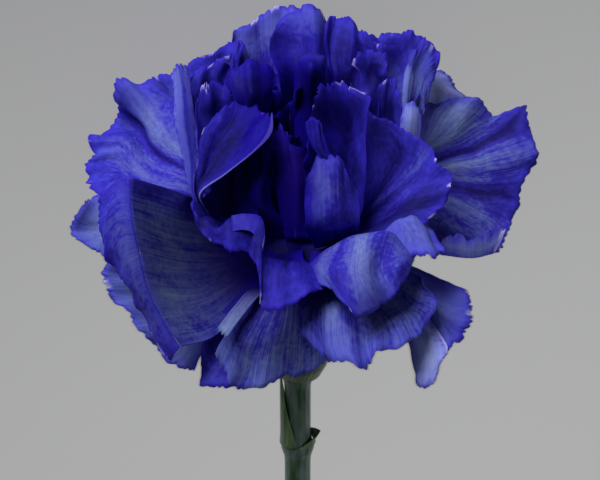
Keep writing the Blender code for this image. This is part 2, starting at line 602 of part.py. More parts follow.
def stem_scales():
    def rim(angles):
        left = (1 - leaf_share(angles, 180, LEFT_LEAF_HALF_ANGLE)) ** LEAF_POINT
        right = (1 - leaf_share(angles, 0, RIGHT_LEAF_HALF_ANGLE)) ** LEAF_POINT
        reach = np.maximum(left * (LEFT_LEAF_TIP - SHEATH_TOP), right * (RIGHT_LEAF_TIP - SHEATH_TOP))
        return SHEATH_TOP + reach

    def inner(z, angles):
        flare = np.clip((z - SHEATH_TOP) / FLARE_LENGTH, 0, 1) * np.clip(np.cos(angles), 0, 1)
        return STEM_RADIUS + LEAF_CLEARANCE + RIGHT_LEAF_FLARE * flare

    return crown("stem_scales", SHEATH_FOOT, rim, inner, LEAF_THICKNESS, LEAF_SIDES, LEAF_ROWS)


# A material with the piece's colour and roughness
def coloured(name, colour, roughness):
    material = bpy.data.materials.new(name)
    material.use_nodes = True
    shader = material.node_tree.nodes["Principled BSDF"]
    shader.inputs["Base Color"].default_value = (*colour, 1)
    shader.inputs["Roughness"].default_value = roughness
    shader.inputs["Metallic"].default_value = 0.0
    return material


# Lays the flower down on its axis slope, with the middle of its footprint at the origin
def lay_down(pieces):
    axis = bpy.data.objects.new("flower_axis", None)
    bpy.context.scene.collection.objects.link(axis)
    slope = Matrix.Rotation(math.radians(AXIS_SLOPE - 90), 4, "X")
    corners = [slope @ v.co for piece in pieces for v in piece.data.vertices]
    middle = [(min(c[i] for c in corners) + max(c[i] for c in corners)) / 2 for i in (0, 1)]
    axis.matrix_world = Matrix.Translation((-middle[0], -middle[1], FOOT_HEIGHT * MM)) @ slope
    for piece in pieces:
        piece.parent = axis


def build():
    for old in list(bpy.data.objects):
        bpy.data.objects.remove(old)
    pieces = {
        bloom: coloured("petal", PETAL_COLOUR, 0.6),
        calyx: coloured("calyx_green", CALYX_COLOUR, 0.5),
        calyx_scales: coloured("scale_green", CALYX_COLOUR, 0.5),
        stem: coloured("stem_green", STEM_COLOUR, 0.45),
        stem_scales: coloured("stem_leaf_green", STEM_COLOUR, 0.5),
    }
    made = []
    for make, material in pieces.items():
        piece = make()
        piece.data.materials.clear()
        piece.data.materials.append(material)
        made.append(piece)
    lay_down(made)


build()
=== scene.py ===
# A double dianthus, dyed blue-violet, on a short cut stem that lies on a table.
# It is worked out in millimetres about the flower's own axis: origin at the foot of the
# calyx, z up the axis to the bloom, -y towards the side that faces up. layDown() then
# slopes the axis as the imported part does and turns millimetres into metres.

import math

import bpy
import numpy as np
from mathutils import Matrix, Vector


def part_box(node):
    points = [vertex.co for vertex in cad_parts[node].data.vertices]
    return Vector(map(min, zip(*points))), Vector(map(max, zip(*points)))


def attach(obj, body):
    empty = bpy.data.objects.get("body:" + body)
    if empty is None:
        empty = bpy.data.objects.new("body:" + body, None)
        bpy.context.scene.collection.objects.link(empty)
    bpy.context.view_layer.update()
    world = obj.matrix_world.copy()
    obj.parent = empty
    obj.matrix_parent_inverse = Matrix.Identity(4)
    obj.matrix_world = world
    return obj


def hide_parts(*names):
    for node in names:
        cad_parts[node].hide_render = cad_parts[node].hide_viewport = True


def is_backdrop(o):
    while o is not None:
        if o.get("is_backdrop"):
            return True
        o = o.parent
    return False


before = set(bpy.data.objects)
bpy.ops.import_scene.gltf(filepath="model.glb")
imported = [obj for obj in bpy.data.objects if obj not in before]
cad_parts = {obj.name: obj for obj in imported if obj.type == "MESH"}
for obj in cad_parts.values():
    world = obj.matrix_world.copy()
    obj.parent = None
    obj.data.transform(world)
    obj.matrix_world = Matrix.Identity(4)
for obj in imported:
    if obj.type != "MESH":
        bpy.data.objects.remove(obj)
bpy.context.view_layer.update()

mm = 0.001

# How the flower lies, as in the part: its slope, and the stem that fixes where the axis is
lying = dict(axisSlope=math.radians(10.5), stemLength=96.0, stemRadius=2.2, stemSides=16)
slopeSine, slopeCosine = math.sin(lying["axisSlope"]), math.cos(lying["axisSlope"])
facetRadius = lying["stemRadius"] * math.cos(math.pi / lying["stemSides"])
stemLow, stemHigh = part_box("stem")
calyxFoot = np.array([(stemLow.x + stemHigh.x) / 2 / mm,
                      stemLow.y / mm + lying["stemLength"] * slopeCosine + facetRadius * slopeSine,
                      facetRadius * slopeCosine + lying["stemLength"] * slopeSine])


# Flower frame to table: x stays, z runs along the slope, y points down into the table
def layDown(points):
    x, y, z = np.moveaxis(np.asarray(points, float), -1, 0)
    laid = np.stack([x, z * slopeCosine + y * slopeSine, z * slopeSine - y * slopeCosine], -1)
    return (laid + calyxFoot) * mm


# Height above the table, in millimetres
def heightOf(points):
    return calyxFoot[2] - points[..., 1] * slopeCosine + points[..., 2] * slopeSine


# Raises points straight up from the table by rise
def raiseBy(points, rise):
    return points + rise[..., None] * np.array([0.0, -slopeCosine, slopeSine])


# The value that lies share of the way from the first of two ends to the second
def mix(ends, share):
    return ends[0] + (ends[1] - ends[0]) * share


# Smooth noise of x in -1..1: five sines of it, with counts from low to high
def ripple(x, draw, low, high):
    counts = draw.uniform(low, high, 5)
    phases = draw.uniform(0, 2 * math.pi, 5)
    sizes = draw.uniform(0.6, 1.0, 5)
    waves = sizes[:, None] * np.sin(counts[:, None] * math.pi * x[None, :] + phases[:, None])
    return waves.sum(0) / 3.0


# 0 below 0, 1 above 1 and 3x^2 - 2x^3 between
def smoothStep(x):
    x = np.clip(x, 0, 1)
    return x * x * (3 - 2 * x)


# Crumples a sheet: each point moves by a sum of plane waves of its own place in random
# directions, eight near the given wavelength and eight weaker ones near 0.35 of it
def crumple(points, draw, size, wavelength):
    moved = np.zeros_like(points)
    for length, share in [(wavelength, 0.5)] * 8 + [(0.35 * wavelength, 0.13)] * 8:
        along, way = draw.normal(size=3), draw.normal(size=3)
        along *= 2 * math.pi / length * draw.uniform(0.6, 1.3) / np.linalg.norm(along)
        way *= share / np.linalg.norm(way)
        moved += np.sin(points @ along + draw.uniform(0, 2 * math.pi))[..., None] * way
    return moved * size


# Unit normals of a grid of points: the cross product of its two tangents
def gridNormals(points):
    normal = np.cross(np.gradient(points, axis=0), np.gradient(points, axis=1))
    return normal / np.maximum(np.linalg.norm(normal, axis=-1, keepdims=True), 1e-9)


# A mesh object with its place in its vertices
def meshPiece(name, points, faces, material, attributes=None):
    mesh = bpy.data.meshes.new(name)
    mesh.from_pydata(points.tolist(), [], faces)
    for attribute, values in (attributes or {}).items():
        kind = "FLOAT_VECTOR" if values.ndim == 2 else "FLOAT"
        layer = mesh.attributes.new(attribute, kind, "POINT")
        layer.data.foreach_set("vector" if values.ndim == 2 else "value",
                               values.astype(np.float32).ravel())
    mesh.shade_smooth()
    mesh.materials.append(material)
    piece = bpy.data.objects.new(name, mesh)
    bpy.context.scene.collection.objects.link(piece)
    return piece


# sRGB hex to linear colour
def linear(code):
    channels = [int(code[i:i + 2], 16) / 255 for i in (0, 2, 4)]
    return tuple(c / 12.92 if c <= 0.04045 else ((c + 0.055) / 1.055) ** 2.4 for c in channels) + (1.0,)


# Adds a node: settings are its properties, links go to its inputs by name or number, and a
# plain value among them is set on the socket. The two colours of a Mix node are its inputs 6
# and 7, and its output 2 is the colour.
def addNode(tree, kind, links, **settings):
    node = tree.nodes.new(kind)
    for key, value in settings.items():
        setattr(node, key, value)
    for socket, value in links.items():
        if isinstance(value, bpy.types.NodeSocket):
            tree.links.new(value, node.inputs[socket])
        else:
            node.inputs[socket].default_value = value
    return node


# Colour stops of a ramp, as (place, hex colour), from left to right
def setStops(ramp, stops):
    for place, code in stops[2:]:
        ramp.color_ramp.elements.new(place)
    for element, (place, code) in zip(ramp.color_ramp.elements, stops):
        element.position = place
        element.color = linear(code)


# A material with nodes, and its shader
def newMaterial(name):
    material = bpy.data.materials.new(name)
    material.use_nodes = True
    return material, material.node_tree.nodes["Principled BSDF"]


# Noise that follows the rays of a piece. Its cells have the given size in mm: across the
# rays, along them, and from petal to petal.
def rayNoise(tree, rays, size, detail):
    cells = addNode(tree, "ShaderNodeMapping", {"Vector": rays, "Scale": [1 / side for side in size]})
    return addNode(tree, "ShaderNodeTexNoise", {"Vector": cells.outputs[0], "Scale": 1.0,
                                                "Detail": detail}).outputs["Fac"]


# Dyed petal: soft living tissue that drank blue dye through its stem. The dye gathers in the fibres and
# along the toothed margin and leaves paler lilac streaks between them, and the skin has a matt, faintly
# velvety face. noises are (size of the cells in mm, detail, share of the shade); real fibres are finer,
# and these are as coarse as the render can show. Widths and fibreHeight are in mm too. The edge turns
# pale where a noise of its own is above the range given for it: partly undyed tips and partly painted
# glints where the teeth catch light. The heart's tint is partly deeper dye and partly painted shade.
dyedPetal = dict(
    noises=dict(streak=((1.6, 18.2, 1), 3.0, 0.13), fibre=((0.35, 11.1, 1), 2.0, 0.09),
                patch=((5.0, 8.33, 1), 4.0, 0.43), speck=((0.9, 0.9, 0.9), 3.0, 0.25)),
    shades=[(0.3, "140E5C"), (0.48, "2E26A2"), (0.7, "6570B4"), (1.0, "9CA8E8")], ashenFibre=0.4,
    ashTint="E0F0CC", bandWidth=4.5, band="3834BC", marginWidth=0.9, margin="2C18A6", rimDye=1.26,
    undyedAndGlintSize=(2.22, 10, 1), undyedAndGlintFrom=(0.64, 0.69), undyedAndGlintShare=0.8, edgeWidth=0.7, undyedEdgeAndGlint="B9B4EE",
    heartDyeAndShadeTint="7038B8", fibreBump=0.35, fibreHeight=0.25, sheenTint="9AA0F0",
    surface={"Roughness": 0.55, "IOR": 1.40, "Specular IOR Level": 0.06, "Sheen Weight": 0.02,
             "Sheen Roughness": 0.5})


# The shade is the petal's own tone plus each noise by its share, and a ramp turns it to a colour. That
# colour is then tinted where the petal is ashen, at its rim, at its edge with undyed bits and painted
# glints, and in the heart with deeper dye and painted shade.
def petalMaterial():
    material, shader = newMaterial("dyedPetal")
    tree, d = material.node_tree, dyedPetal
    rays = addNode(tree, "ShaderNodeAttribute", {}, attribute_name="rays").outputs["Vector"]
    rim, tone, ashen, heartDyeAndShadeFactor = (
        addNode(tree, "ShaderNodeAttribute", {}, attribute_name=name).outputs["Fac"]
        for name in ("rimDistance", "tone", "ashen", "heartDyeAndShade"))
    noises, shade = {}, tone
    for kind, (size, detail, share) in d["noises"].items():
        noises[kind] = rayNoise(tree, rays, size, detail)
        shade = addNode(tree, "ShaderNodeMath", {0: noises[kind], 1: share, 2: shade},
                        operation="MULTIPLY_ADD").outputs[0]
    # Ashen petals show their fibres more here, and ashTint greys them further on
    contrast = addNode(tree, "ShaderNodeMath", {0: noises["fibre"], 1: 0.5}, operation="SUBTRACT")
    contrast = addNode(tree, "ShaderNodeMath", {0: contrast.outputs[0], 1: ashen}, operation="MULTIPLY")
    shade = addNode(tree, "ShaderNodeMath", {0: contrast.outputs[0], 1: d["ashenFibre"], 2: shade},
                    operation="MULTIPLY_ADD")
    ramp = addNode(tree, "ShaderNodeValToRGB", {"Fac": shade.outputs[0]})
    setStops(ramp, d["shades"])
    tints = [(ashen, "ashTint", "MULTIPLY")]

    # The strong dye of the rim's broad band, then the dark margin: 1 at the rim and 0 where
    # the rim is farther than width * 2 * patch, times the specks and rimDye
    for width, code in (("bandWidth", "band"), ("marginWidth", "margin")):
        reach = addNode(tree, "ShaderNodeMath", {0: noises["patch"], 1: d[width] * 2},
                        operation="MULTIPLY")
        away = addNode(tree, "ShaderNodeMath", {0: rim, 1: reach.outputs[0]}, operation="DIVIDE",
                       use_clamp=True)
        near = addNode(tree, "ShaderNodeMath", {0: 1.0, 1: away.outputs[0]}, operation="SUBTRACT")
        near = addNode(tree, "ShaderNodeMath", {0: near.outputs[0], 1: noises["speck"]},
                       operation="MULTIPLY")
        near = addNode(tree, "ShaderNodeMath", {0: near.outputs[0], 1: d["rimDye"]},
                       operation="MULTIPLY", use_clamp=True)
        tints.append((near.outputs[0], code, "MIX"))

    # Pale bits of the thin edge, within edgeWidth of the rim: partly undyed tips and partly painted
    # glints where the teeth catch light
    undyedAndGlintSpot = rayNoise(tree, rays, d["undyedAndGlintSize"], 1.0)
    low, high = d["undyedAndGlintFrom"]
    undyedAndGlintSpot = addNode(tree, "ShaderNodeMapRange", {"Value": undyedAndGlintSpot, 1: low, 2: high, 3: 0.0,
                                                4: d["undyedAndGlintShare"]})
    edge = addNode(tree, "ShaderNodeMapRange", {"Value": rim, 1: 0.0, 2: d["edgeWidth"], 3: 1.0, 4: 0.0})
    undyedAndGlint = addNode(tree, "ShaderNodeMath", {0: undyedAndGlintSpot.outputs[0], 1: edge.outputs[0]}, operation="MULTIPLY")
    tints.append((undyedAndGlint.outputs[0], "undyedEdgeAndGlint", "MIX"))
    # In the heart the colour is multiplied by a deep violet: partly the deeper dye that the heart drank
    # and partly painted shade of its hollow and eye
    tints.append((heartDyeAndShadeFactor, "heartDyeAndShadeTint", "MULTIPLY"))
    colour = ramp.outputs[0]
    for factor, code, blend in tints:
        colour = addNode(tree, "ShaderNodeMix", {"Factor": factor, 6: colour, 7: linear(d[code])},
                         data_type="RGBA", blend_type=blend).outputs[2]
    tree.links.new(colour, shader.inputs["Base Color"])
    bump = addNode(tree, "ShaderNodeBump", {"Height": noises["fibre"], "Strength": d["fibreBump"],
                                            "Distance": d["fibreHeight"] * mm})
    tree.links.new(bump.outputs[0], shader.inputs["Normal"])
    for socket, value in d["surface"].items():
        shader.inputs[socket].default_value = value
    shader.inputs["Sheen Tint"].default_value = linear(d["sheenTint"])
    print("petal material has", len(tree.nodes), "nodes")
    return material


# What a petal has unless its own entry says otherwise, in millimetres and degrees.
# A petal without lines leaves the axis at the azimuth, at radius root and height rise, and is
# length long. Its rays fan out by spread on each side, and lean is their angle above the plane
# across the axis at root and tip, with bend for how soon it changes. cup lifts both sides,
# roll turns the blade about its middle ray, corner shortens the outer rays, wave is (count,
# angle, phase) of the folds, and ruffle and frill are the angles of the finer folds.
# sway and frillSize are the heights of the folds of a petal with lines. Each petal has a
# crumple size, a depth of its teeth, the number of layers between it and the table, and a
# seed for its random draws.
# Its colour: tone makes it deeper below 0 and paler above, and inner is added to that towards the claw;
# inner paints shade there below 0 and light above 0, as where a claw end lies in shade under a lit top or
# a shaded part is painted lit. stripes along the rays are (place, width, tone), the first two in half
# widths of the petal; they are partly streaks of dye and partly the painted shade and light of broad
# folds. bandCut is taken off the dyed band along its rim, the heart entry is the least of the heart's
# darkening that it has all over, partly deeper dye and partly painted shade, and ashen how grey it is.
petalRest = dict(azimuth=0, length=34, spread=36, lean=(45, 5), bend=0.7, cup=(8, 4), roll=0,
                 wave=(2.5, 14, 0), ruffle=8, frill=6, corner=0.22, root=5, rise=25, layer=0, seed=1,
                 crumple=0.5, tooth=0.65, sway=0.4, frillSize=0.45, columns=120, rows=30,
                 tone=0.0, inner=0.0, stripes=(), bandCut=0.0, heartDyeAndShade=0.0, ashen=0.0)

# What all petals share, in millimetres: the blade thins from thickness to rimThickness over
# the last taper of its reach, teeth are toothWidth wide, and crumples about crumpleLength.
# Pressed on the table, a layer lies pressLayer above the one below and bends to it over
# pressSoftness. flutter is the angle of small folds, uneven how far the margin strays, skins
# are how much paler the two sides are than the tone, and seedStep parts the patterns of two
# petals whose seeds differ by 1.
blade = dict(thickness=0.36, rimThickness=0.08, taper=4, clawHalfWidth=1.6, toothWidth=1.5,
             crumpleLength=9.0, pressSoftness=1.2, pressLayer=1.3, flutter=3, uneven=0.5,
             skins=(0.05, 0.11), seedStep=7.3, firstSeed=100)


# How deep the teeth of a margin are cut: a saw wave of u in -1..1, its steps toothWidth wide
# and uneven, and its depth uneven too
def toothCut(u, margin, depth, draw):
    teeth = margin / 2 / blade["toothWidth"] * u + 0.8 * ripple(u, draw, 2, 6)
    saw = np.abs(2 * (teeth % 1.0) - 1)
    return depth * (0.65 + 0.5 * ripple(u, draw, 3, 9)) * saw


# A petal's middle surface. Each ray, at angle u * spread from the middle one, is the sum of
# short steps; a step's direction is cos(turn) forward + sin(turn) sideways, where forward
# rises by lean and sways with the folds, and sideways rises by cup. t is 0 at the claw and
# about 1 at the rim; the wave grows by t^1.3, the ruffle by t^2.5 and the flutter by t, and
# the frill is only in the last 0.4 of it.
def petalSurface(s):
    draw = np.random.default_rng(s["seed"] + blade["firstSeed"])
    u = np.linspace(-1, 1, s["columns"] + 1)
    v = np.linspace(0, 1, s["rows"] + 1) ** 0.85
    spread = math.radians(s["spread"])
    outline = 1 - s["corner"] * np.abs(u) ** 4 + 0.03 * ripple(u, draw, 1, 3)
    cut = toothCut(u, 2 * spread * s["length"], s["tooth"], draw)
    reach = v[:, None] * s["length"] * outline - v[:, None] ** 6 * cut
    t = reach / s["length"]
    across = np.broadcast_to(u, t.shape)
    count, angle, phase = s["wave"]
    fold = math.radians(angle) * t ** 1.3 * np.sin(count * math.pi * across / 2 + math.radians(phase))
    fold = fold + math.radians(s["ruffle"]) * t ** 2.5 * ripple(u, draw, 2.5, 6)
    fold = fold + math.radians(blade["flutter"]) * t * ripple(u, draw, 6, 12)
    fold = fold + math.radians(s["frill"]) * smoothStep((t - 0.6) / 0.4) * ripple(u, draw, 6, 14)
    lean = np.radians(mix(s["lean"], np.clip(t, 0, 1.2) ** s["bend"]))
    cup = np.radians(mix(s["cup"], t)) * np.abs(across)
    azimuth, roll = math.radians(s["azimuth"]), math.radians(s["roll"])
    out = np.array([math.cos(azimuth), math.sin(azimuth), 0])
    beside = np.array([-math.sin(azimuth), math.cos(azimuth), 0])
    up = np.array([0.0, 0.0, 1.0])
    ahead = np.cos(lean)[..., None] * out + np.sin(lean)[..., None] * up
    above = -np.sin(lean)[..., None] * out + np.cos(lean)[..., None] * up
    side = math.cos(roll) * beside + math.sin(roll) * above
    normal = -math.sin(roll) * beside + math.cos(roll) * above
    sign = np.where(across < 0, -1.0, 1.0)[..., None]
    sideways = np.cos(cup)[..., None] * side * sign + np.sin(cup)[..., None] * normal
    forward = np.cos(fold)[..., None] * ahead + np.sin(fold)[..., None] * normal
    turn = np.abs(across * spread)[..., None]
    direction = np.cos(turn) * forward + np.sin(turn) * sideways
    step = np.diff(reach, axis=0)[..., None] * 0.5 * (direction[1:] + direction[:-1])
    start = s["root"] * out + s["rise"] * up + blade["clawHalfWidth"] * u[:, None] * side[0]
    points = np.concatenate([start[None], start + np.cumsum(step, axis=0)])
    points = points + crumple(points, draw, s["crumple"], blade["crumpleLength"]) * (t ** 1.5)[..., None]
    rimDistance = np.minimum(reach[-1] - reach, (1 - np.abs(across)) * spread * reach)
    pattern = np.full(t.shape, blade["seedStep"] * s["seed"])
    return points, np.stack([across * spread * s["length"], reach, pattern], -1), rimDistance


# The camera of the photograph, in the flower's frame and in millimetres: it looks down on the
# bloom by its elevation above the plane across the axis. Only clip is in metres.
photo = dict(elevation=math.radians(32.0), aim=(0.4, 0.0, 25.75), distance=400.0, width=600,
             pixelsPerMm=6.22, sensor=36.0, clip=(0.01, 10.0))
viewSine, viewCosine = math.sin(photo["elevation"]), math.cos(photo["elevation"])


# From the axes of the view, across to the right, up, and near towards the eye, to the
# flower's frame: a turn by the elevation
def fromView(points):
    across, up, near = np.moveaxis(np.asarray(points, float), -1, 0)
    return np.stack([across, up * viewSine - near * viewCosine, up * viewCosine + near * viewSine], -1)


# A Catmull-Rom curve through points (or through whole lines of points) at places 0..1
def curveThrough(points, places):
    points = np.asarray(points, float)
    padded = np.concatenate([[2 * points[0] - points[1]], points, [2 * points[-1] - points[-2]]])
    place = np.clip(places, 0, 1) * (len(points) - 1)
    first = np.minimum(place.astype(int), len(points) - 2)
    f = (place - first).reshape((-1,) + (1,) * (points.ndim - 1))
    a, b, c, d = (padded[first + i] for i in range(4))
    return 0.5 * (2 * b + (c - a) * f + (2 * a - 5 * b + 4 * c - d) * f ** 2
                  + (3 * b - a - 3 * c + d) * f ** 3)


# Places 0..1 that part a curve into steps of equal length, and its whole length
def evenPlaces(points, count):
    dense = np.linspace(0, 1, 300)
    walked = np.linalg.norm(np.diff(curveThrough(points, dense), axis=0), axis=-1)
    walked = np.concatenate([[0], np.cumsum(walked)])
    return np.interp(np.linspace(0, walked[-1], count + 1), walked, dense), walked[-1]


# A petal drawn by a few lines across it, from its claw to its margin: a smooth surface
# through them all, with teeth cut into the last. Along its normals it sways by t^2, in up to
# four waves, and near the margin it frills in waves of 4 to 9 mm.
def drawnSurface(s):
    draw = np.random.default_rng(s["seed"] + blade["firstSeed"])
    columns, rows = s["columns"], s["rows"]
    lines = [fromView(line) for line in s["lines"]]
    places, margin = evenPlaces(lines[-1], columns)
    strands = np.stack([curveThrough(line, places) for line in lines])
    steps, length = evenPlaces(strands[:, columns // 2], rows)
    u = np.linspace(-1, 1, columns + 1)
    cut = toothCut(u, margin, s["tooth"], draw) + blade["uneven"] * ripple(u, draw, 2, 5)
    v = np.linspace(0, 1, rows + 1)
    t = v[:, None] * (1 - v[:, None] ** 5 * np.maximum(cut, 0)[None, :] / length)
    lineAt = np.interp(t, v, steps) * (len(lines) - 1)
    surface = curveThrough(strands, steps)
    row = np.interp(lineAt, steps * (len(lines) - 1), np.arange(rows + 1))
    low = np.minimum(row.astype(int), rows - 1)
    column = np.broadcast_to(np.arange(columns + 1), t.shape)
    points = mix((surface[low, column], surface[low + 1, column]), (row - low)[..., None])
    sway = s["sway"] * t ** 2 * ripple(u, draw, 1.5, 4)
    frill = smoothStep((t - 0.72) / 0.28) ** 1.5 * ripple(u, draw, margin / 9, margin / 4)
    points = points + gridNormals(points) * (sway + s["frillSize"] * frill)[..., None]
    points = points + crumple(points, draw, s["crumple"], blade["crumpleLength"]) * (t ** 1.5)[..., None]
    across = np.broadcast_to(u, t.shape)
    rimDistance = np.minimum((t[-1] - t) * length, (1 - np.abs(across)) * margin / 2 * t)
    pattern = np.full(t.shape, blade["seedStep"] * s["seed"])
    return points, np.stack([across * margin / 2, t * length, pattern], -1), rimDistance


# Flattens a blade on to the level of its layer: log(1 + e^x) keeps what is well above
def pressOnTable(points, layer):
    level = blade["thickness"] / 2 + layer * blade["pressLayer"]
    above = heightOf(points) - level
    pressed = blade["pressSoftness"] * np.logaddexp(0, above / blade["pressSoftness"])
    return raiseBy(points, pressed - above)


# The dark heart, where the petals are darkened partly by deeper dye and partly by painted shade: the eye
# at the top of the tuft and the hollow that opens under it
heartDyeAndShade = dict(eye=(-1.0, 6.0, 48.0), floor=(-5.0, -7.0, 28.0), reach=18.5, depth=1.35)


# How deep in the heart points are, from 1 on the line from eye to floor to 0 beyond its reach: the share
# of the heart's deeper dye and painted shade
def heartDyeAndShadeShare(points):
    eye, floor = np.array(heartDyeAndShade["eye"]), np.array(heartDyeAndShade["floor"])
    along = floor - eye
    share = np.clip((points - eye) @ along / (along @ along), 0, 1)
    away = np.linalg.norm(points - eye - share[..., None] * along, axis=-1)
    return smoothStep(heartDyeAndShade["depth"] * (1 - away / heartDyeAndShade["reach"]))


# The faces of a closed shell of two equal grids, front first, joined round their border
def shellFaces(rows, columns):
    count = rows * columns
    index = np.arange(count).reshape(rows, columns)
    a, b = index[:-1, :-1].ravel(), index[:-1, 1:].ravel()
    c, d = index[1:, 1:].ravel(), index[1:, :-1].ravel()
    front = np.stack([a, d, c, b], 1)
    back = np.stack([a, b, c, d], 1) + count
    border = np.concatenate([index[0], index[1:, -1], index[-1, -2::-1], index[-2:0:-1, 0]])
    after = np.roll(border, -1)
    wall = np.stack([border, after, after + count, border + count], 1)
    return np.concatenate([front, back, wall])


# One piece of several petals, each a closed blade that thins towards its rim. Its tone is the petal's
# own, plus inner by how near the claw it is, which paints shade or light there, plus a bell curve for
# each stripe, partly dye and partly the painted shade and light of folds.
def petalPiece(name, petals, material):
    points, faces = [], []
    looks = dict(rays=[], rimDistance=[], tone=[], heartDyeAndShade=[], ashen=[])
    used = 0
    for petal in petals.values():
        s = {**petalRest, **petal}
        surface = drawnSurface if "lines" in s else petalSurface
        middle, ray, rim = surface(s)
        middle = pressOnTable(middle, s["layer"])
        thin = mix((blade["rimThickness"], blade["thickness"]), smoothStep(rim / blade["taper"]))
        offset = gridNormals(middle) * thin[..., None] / 2
        across, along = (ray[..., i] / np.abs(ray[..., i]).max() for i in (0, 1))
        # inner: painted shade towards the claw below 0, painted light there above 0
        tone = s["tone"] + s["inner"] * (1 - along)
        # stripes: partly streaks of dye, partly the painted shade and light of broad folds
        for place, width, more in s["stripes"]:
            tone = tone + more * np.exp(-((across - place) / width) ** 2)
        for skin, paler in zip((middle + offset, middle - offset), blade["skins"]):
            points.append(raiseBy(skin, np.maximum(-heightOf(skin), 0)).reshape(-1, 3))
            looks["rays"].append(ray.reshape(-1, 3))
            looks["rimDistance"].append(rim.ravel() + s["bandCut"])
            looks["tone"].append((tone + paler).ravel())
            # the heart's darkening: partly deeper dye, partly painted shade
            looks["heartDyeAndShade"].append(np.maximum(heartDyeAndShadeShare(points[-1]), s["heartDyeAndShade"]))
            looks["ashen"].append(np.full(rim.size, s["ashen"]))
        faces.append(shellFaces(*rim.shape) + used)
        used += 2 * rim.size
    piece = meshPiece(name, layDown(np.concatenate(points)), np.concatenate(faces).tolist(), material,
                      {look: np.concatenate(values) for look, values in looks.items()})
    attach(piece, "root")
    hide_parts("bloom")
    print(name, "has", len(petals), "petals and", len(piece.data.polygons), "faces")


# The wide outer petals at the flower's sides. Petals with lines are drawn in the axes of the
# view, (across, up, near), from the claw to the margin, each line from one side to the other.
sidePetals = dict(
    # inner lightens its claw end: painted light where it lies in the shade of rightStand; its stripes are
    # partly dye and partly the painted shade and light of its broad folds
    rightFan=dict(seed=3, tone=-0.11, ashen=0.45, inner=0.24, bandCut=1.6, columns=170,
                  stripes=[(-0.75, 0.22, 0.14), (-0.3, 0.07, -0.24), (-0.1, 0.09, 0.09),
                           (0.22, 0.1, -0.14), (0.55, 0.1, 0.08)], lines=[
        [(4, 24, 13.5), (8, 20.5, 15)],
        [(15.8, 33.3, 15), (18.2, 35, 13), (21.5, 33.3, 12), (22.3, 30, 13), (20.7, 26.8, 15),
         (17.4, 24.9, 17)],
        [(19.5, 40.7, 14), (25.5, 40.5, 12), (29, 38.2, 10), (30.4, 34.5, 12.5), (30.2, 30, 13),
         (28.8, 26.5, 14.5), (26, 23.2, 16.5), (21.5, 22.2, 20)],
        [(21.5, 44.6, 12), (26.2, 45.2, 11), (29.9, 44.7, 10.5), (32.5, 42.2, 8.5), (37.1, 43.6, 10),
         (38, 39.3, 12), (38.4, 35.3, 13), (36.6, 31.7, 13), (35.9, 28.5, 14.5), (34.5, 25, 15.5),
         (33.9, 21.2, 18), (31.4, 19.7, 20), (27.2, 18.9, 21.5), (23.2, 19.2, 22)]]),
    fanFlap=dict(seed=68, tone=0.28, ashen=0.3, tooth=0, frillSize=0, crumple=0.2, sway=0.05, columns=80,
                 rows=24, lines=[
        [(22.5, 19.5, 22.2), (27.5, 19, 21.8), (31.2, 19.8, 20.4)],
        [(22.4, 21, 23), (26, 21.2, 23), (29, 21.4, 22), (32, 21.6, 20.5)],
        [(22.8, 22, 23.2), (24.3, 23, 23.3), (26, 22.8, 23), (27.4, 21.9, 22.6), (28.8, 22.6, 22),
         (31, 24.2, 20.8), (32.8, 24, 19.8)]]),
    # Its pale tone partly paints light, the glow of light through it from behind, where it lies in the
    # shade of the hoods
    rightBack=dict(seed=4, tone=0.42, layer=2, frillSize=0.3, crumple=0.3, sway=0.2, lines=[
        [(5, 24, 9), (8, 24, 9)],
        [(16, 40, 12), (19, 40, 11.5), (22, 38.5, 11)],
        [(19, 47, 9.5), (22, 47, 8.5), (25.5, 44.5, 9)],
        [(20.3, 51, 7), (21.6, 50.8, 6.5), (23, 49.9, 6.3), (24.6, 49, 6), (25.8, 47.6, 6.5),
         (26.5, 46, 7), (27.6, 44.5, 7.5), (28, 42.5, 8)]]),
    leftFan=dict(seed=10, tone=0.0, crumple=0.4, columns=170,
                 stripes=[(-0.38, 0.16, 0.13), (-0.08, 0.05, -0.16), (0.45, 0.12, 0.08),
                          (0.85, 0.15, -0.06)], lines=[
        [(-3, 23, 12), (-4, 20, 12)],
        [(-12.5, 34, 15), (-16, 31.5, 15.5), (-16.5, 27, 17.5)],
        [(-15, 41.5, 15), (-19.5, 38.6, 13), (-22.6, 35, 12), (-23.6, 31.7, 14), (-22.6, 29, 17)],
        [(-16.7, 46, 13), (-21, 44.9, 10), (-24.9, 42.5, 9), (-26.5, 39.8, 7), (-27.8, 37, 9.5),
         (-29.5, 33.5, 11.5), (-28, 29.3, 15)],
        [(-17.1, 49.1, 14), (-19, 49.8, 12), (-22.6, 49, 10), (-25.2, 47, 8), (-27, 47.3, 8),
         (-29.3, 48, 10), (-30.7, 46.1, 11), (-29.5, 43.6, 8.5), (-30, 41.8, 7.5), (-31.4, 39.3, 7.5),
         (-33.8, 38.1, 9), (-32.2, 35.5, 10), (-34.8, 34.7, 12), (-34.9, 31, 14), (-32, 29.1, 16),
         (-29.8, 28, 17)]]),
    leftPale=dict(seed=11, tone=0.2, ashen=0.3, lines=[
        [(-5, 23, 13.5), (-5, 21, 13.5)],
        [(-18, 24, 17), (-18, 22, 17)],
        [(-28.1, 26.8, 18), (-31, 25.6, 17), (-31.2, 22.8, 18), (-28.5, 20.3, 19)],
        [(-29.5, 29.3, 17), (-31.2, 29.6, 17.5), (-32.3, 28.9, 17), (-34.4, 28.2, 18), (-35.4, 26, 19),
         (-35.1, 23.4, 19), (-33.8, 21.2, 20), (-31.4, 20, 20), (-29, 19.3, 20)]]),
)

# The edge that the bowl at the left and its rolled rim share
bowlEdge = [(-18.2, 5.2, 27.5), (-20.8, 9.6, 29), (-23.1, 14.8, 31), (-24.1, 19.6, 32.5), (-25, 24.1, 34),
            (-25.4, 27.6, 34.5), (-25.4, 31.4, 35)]

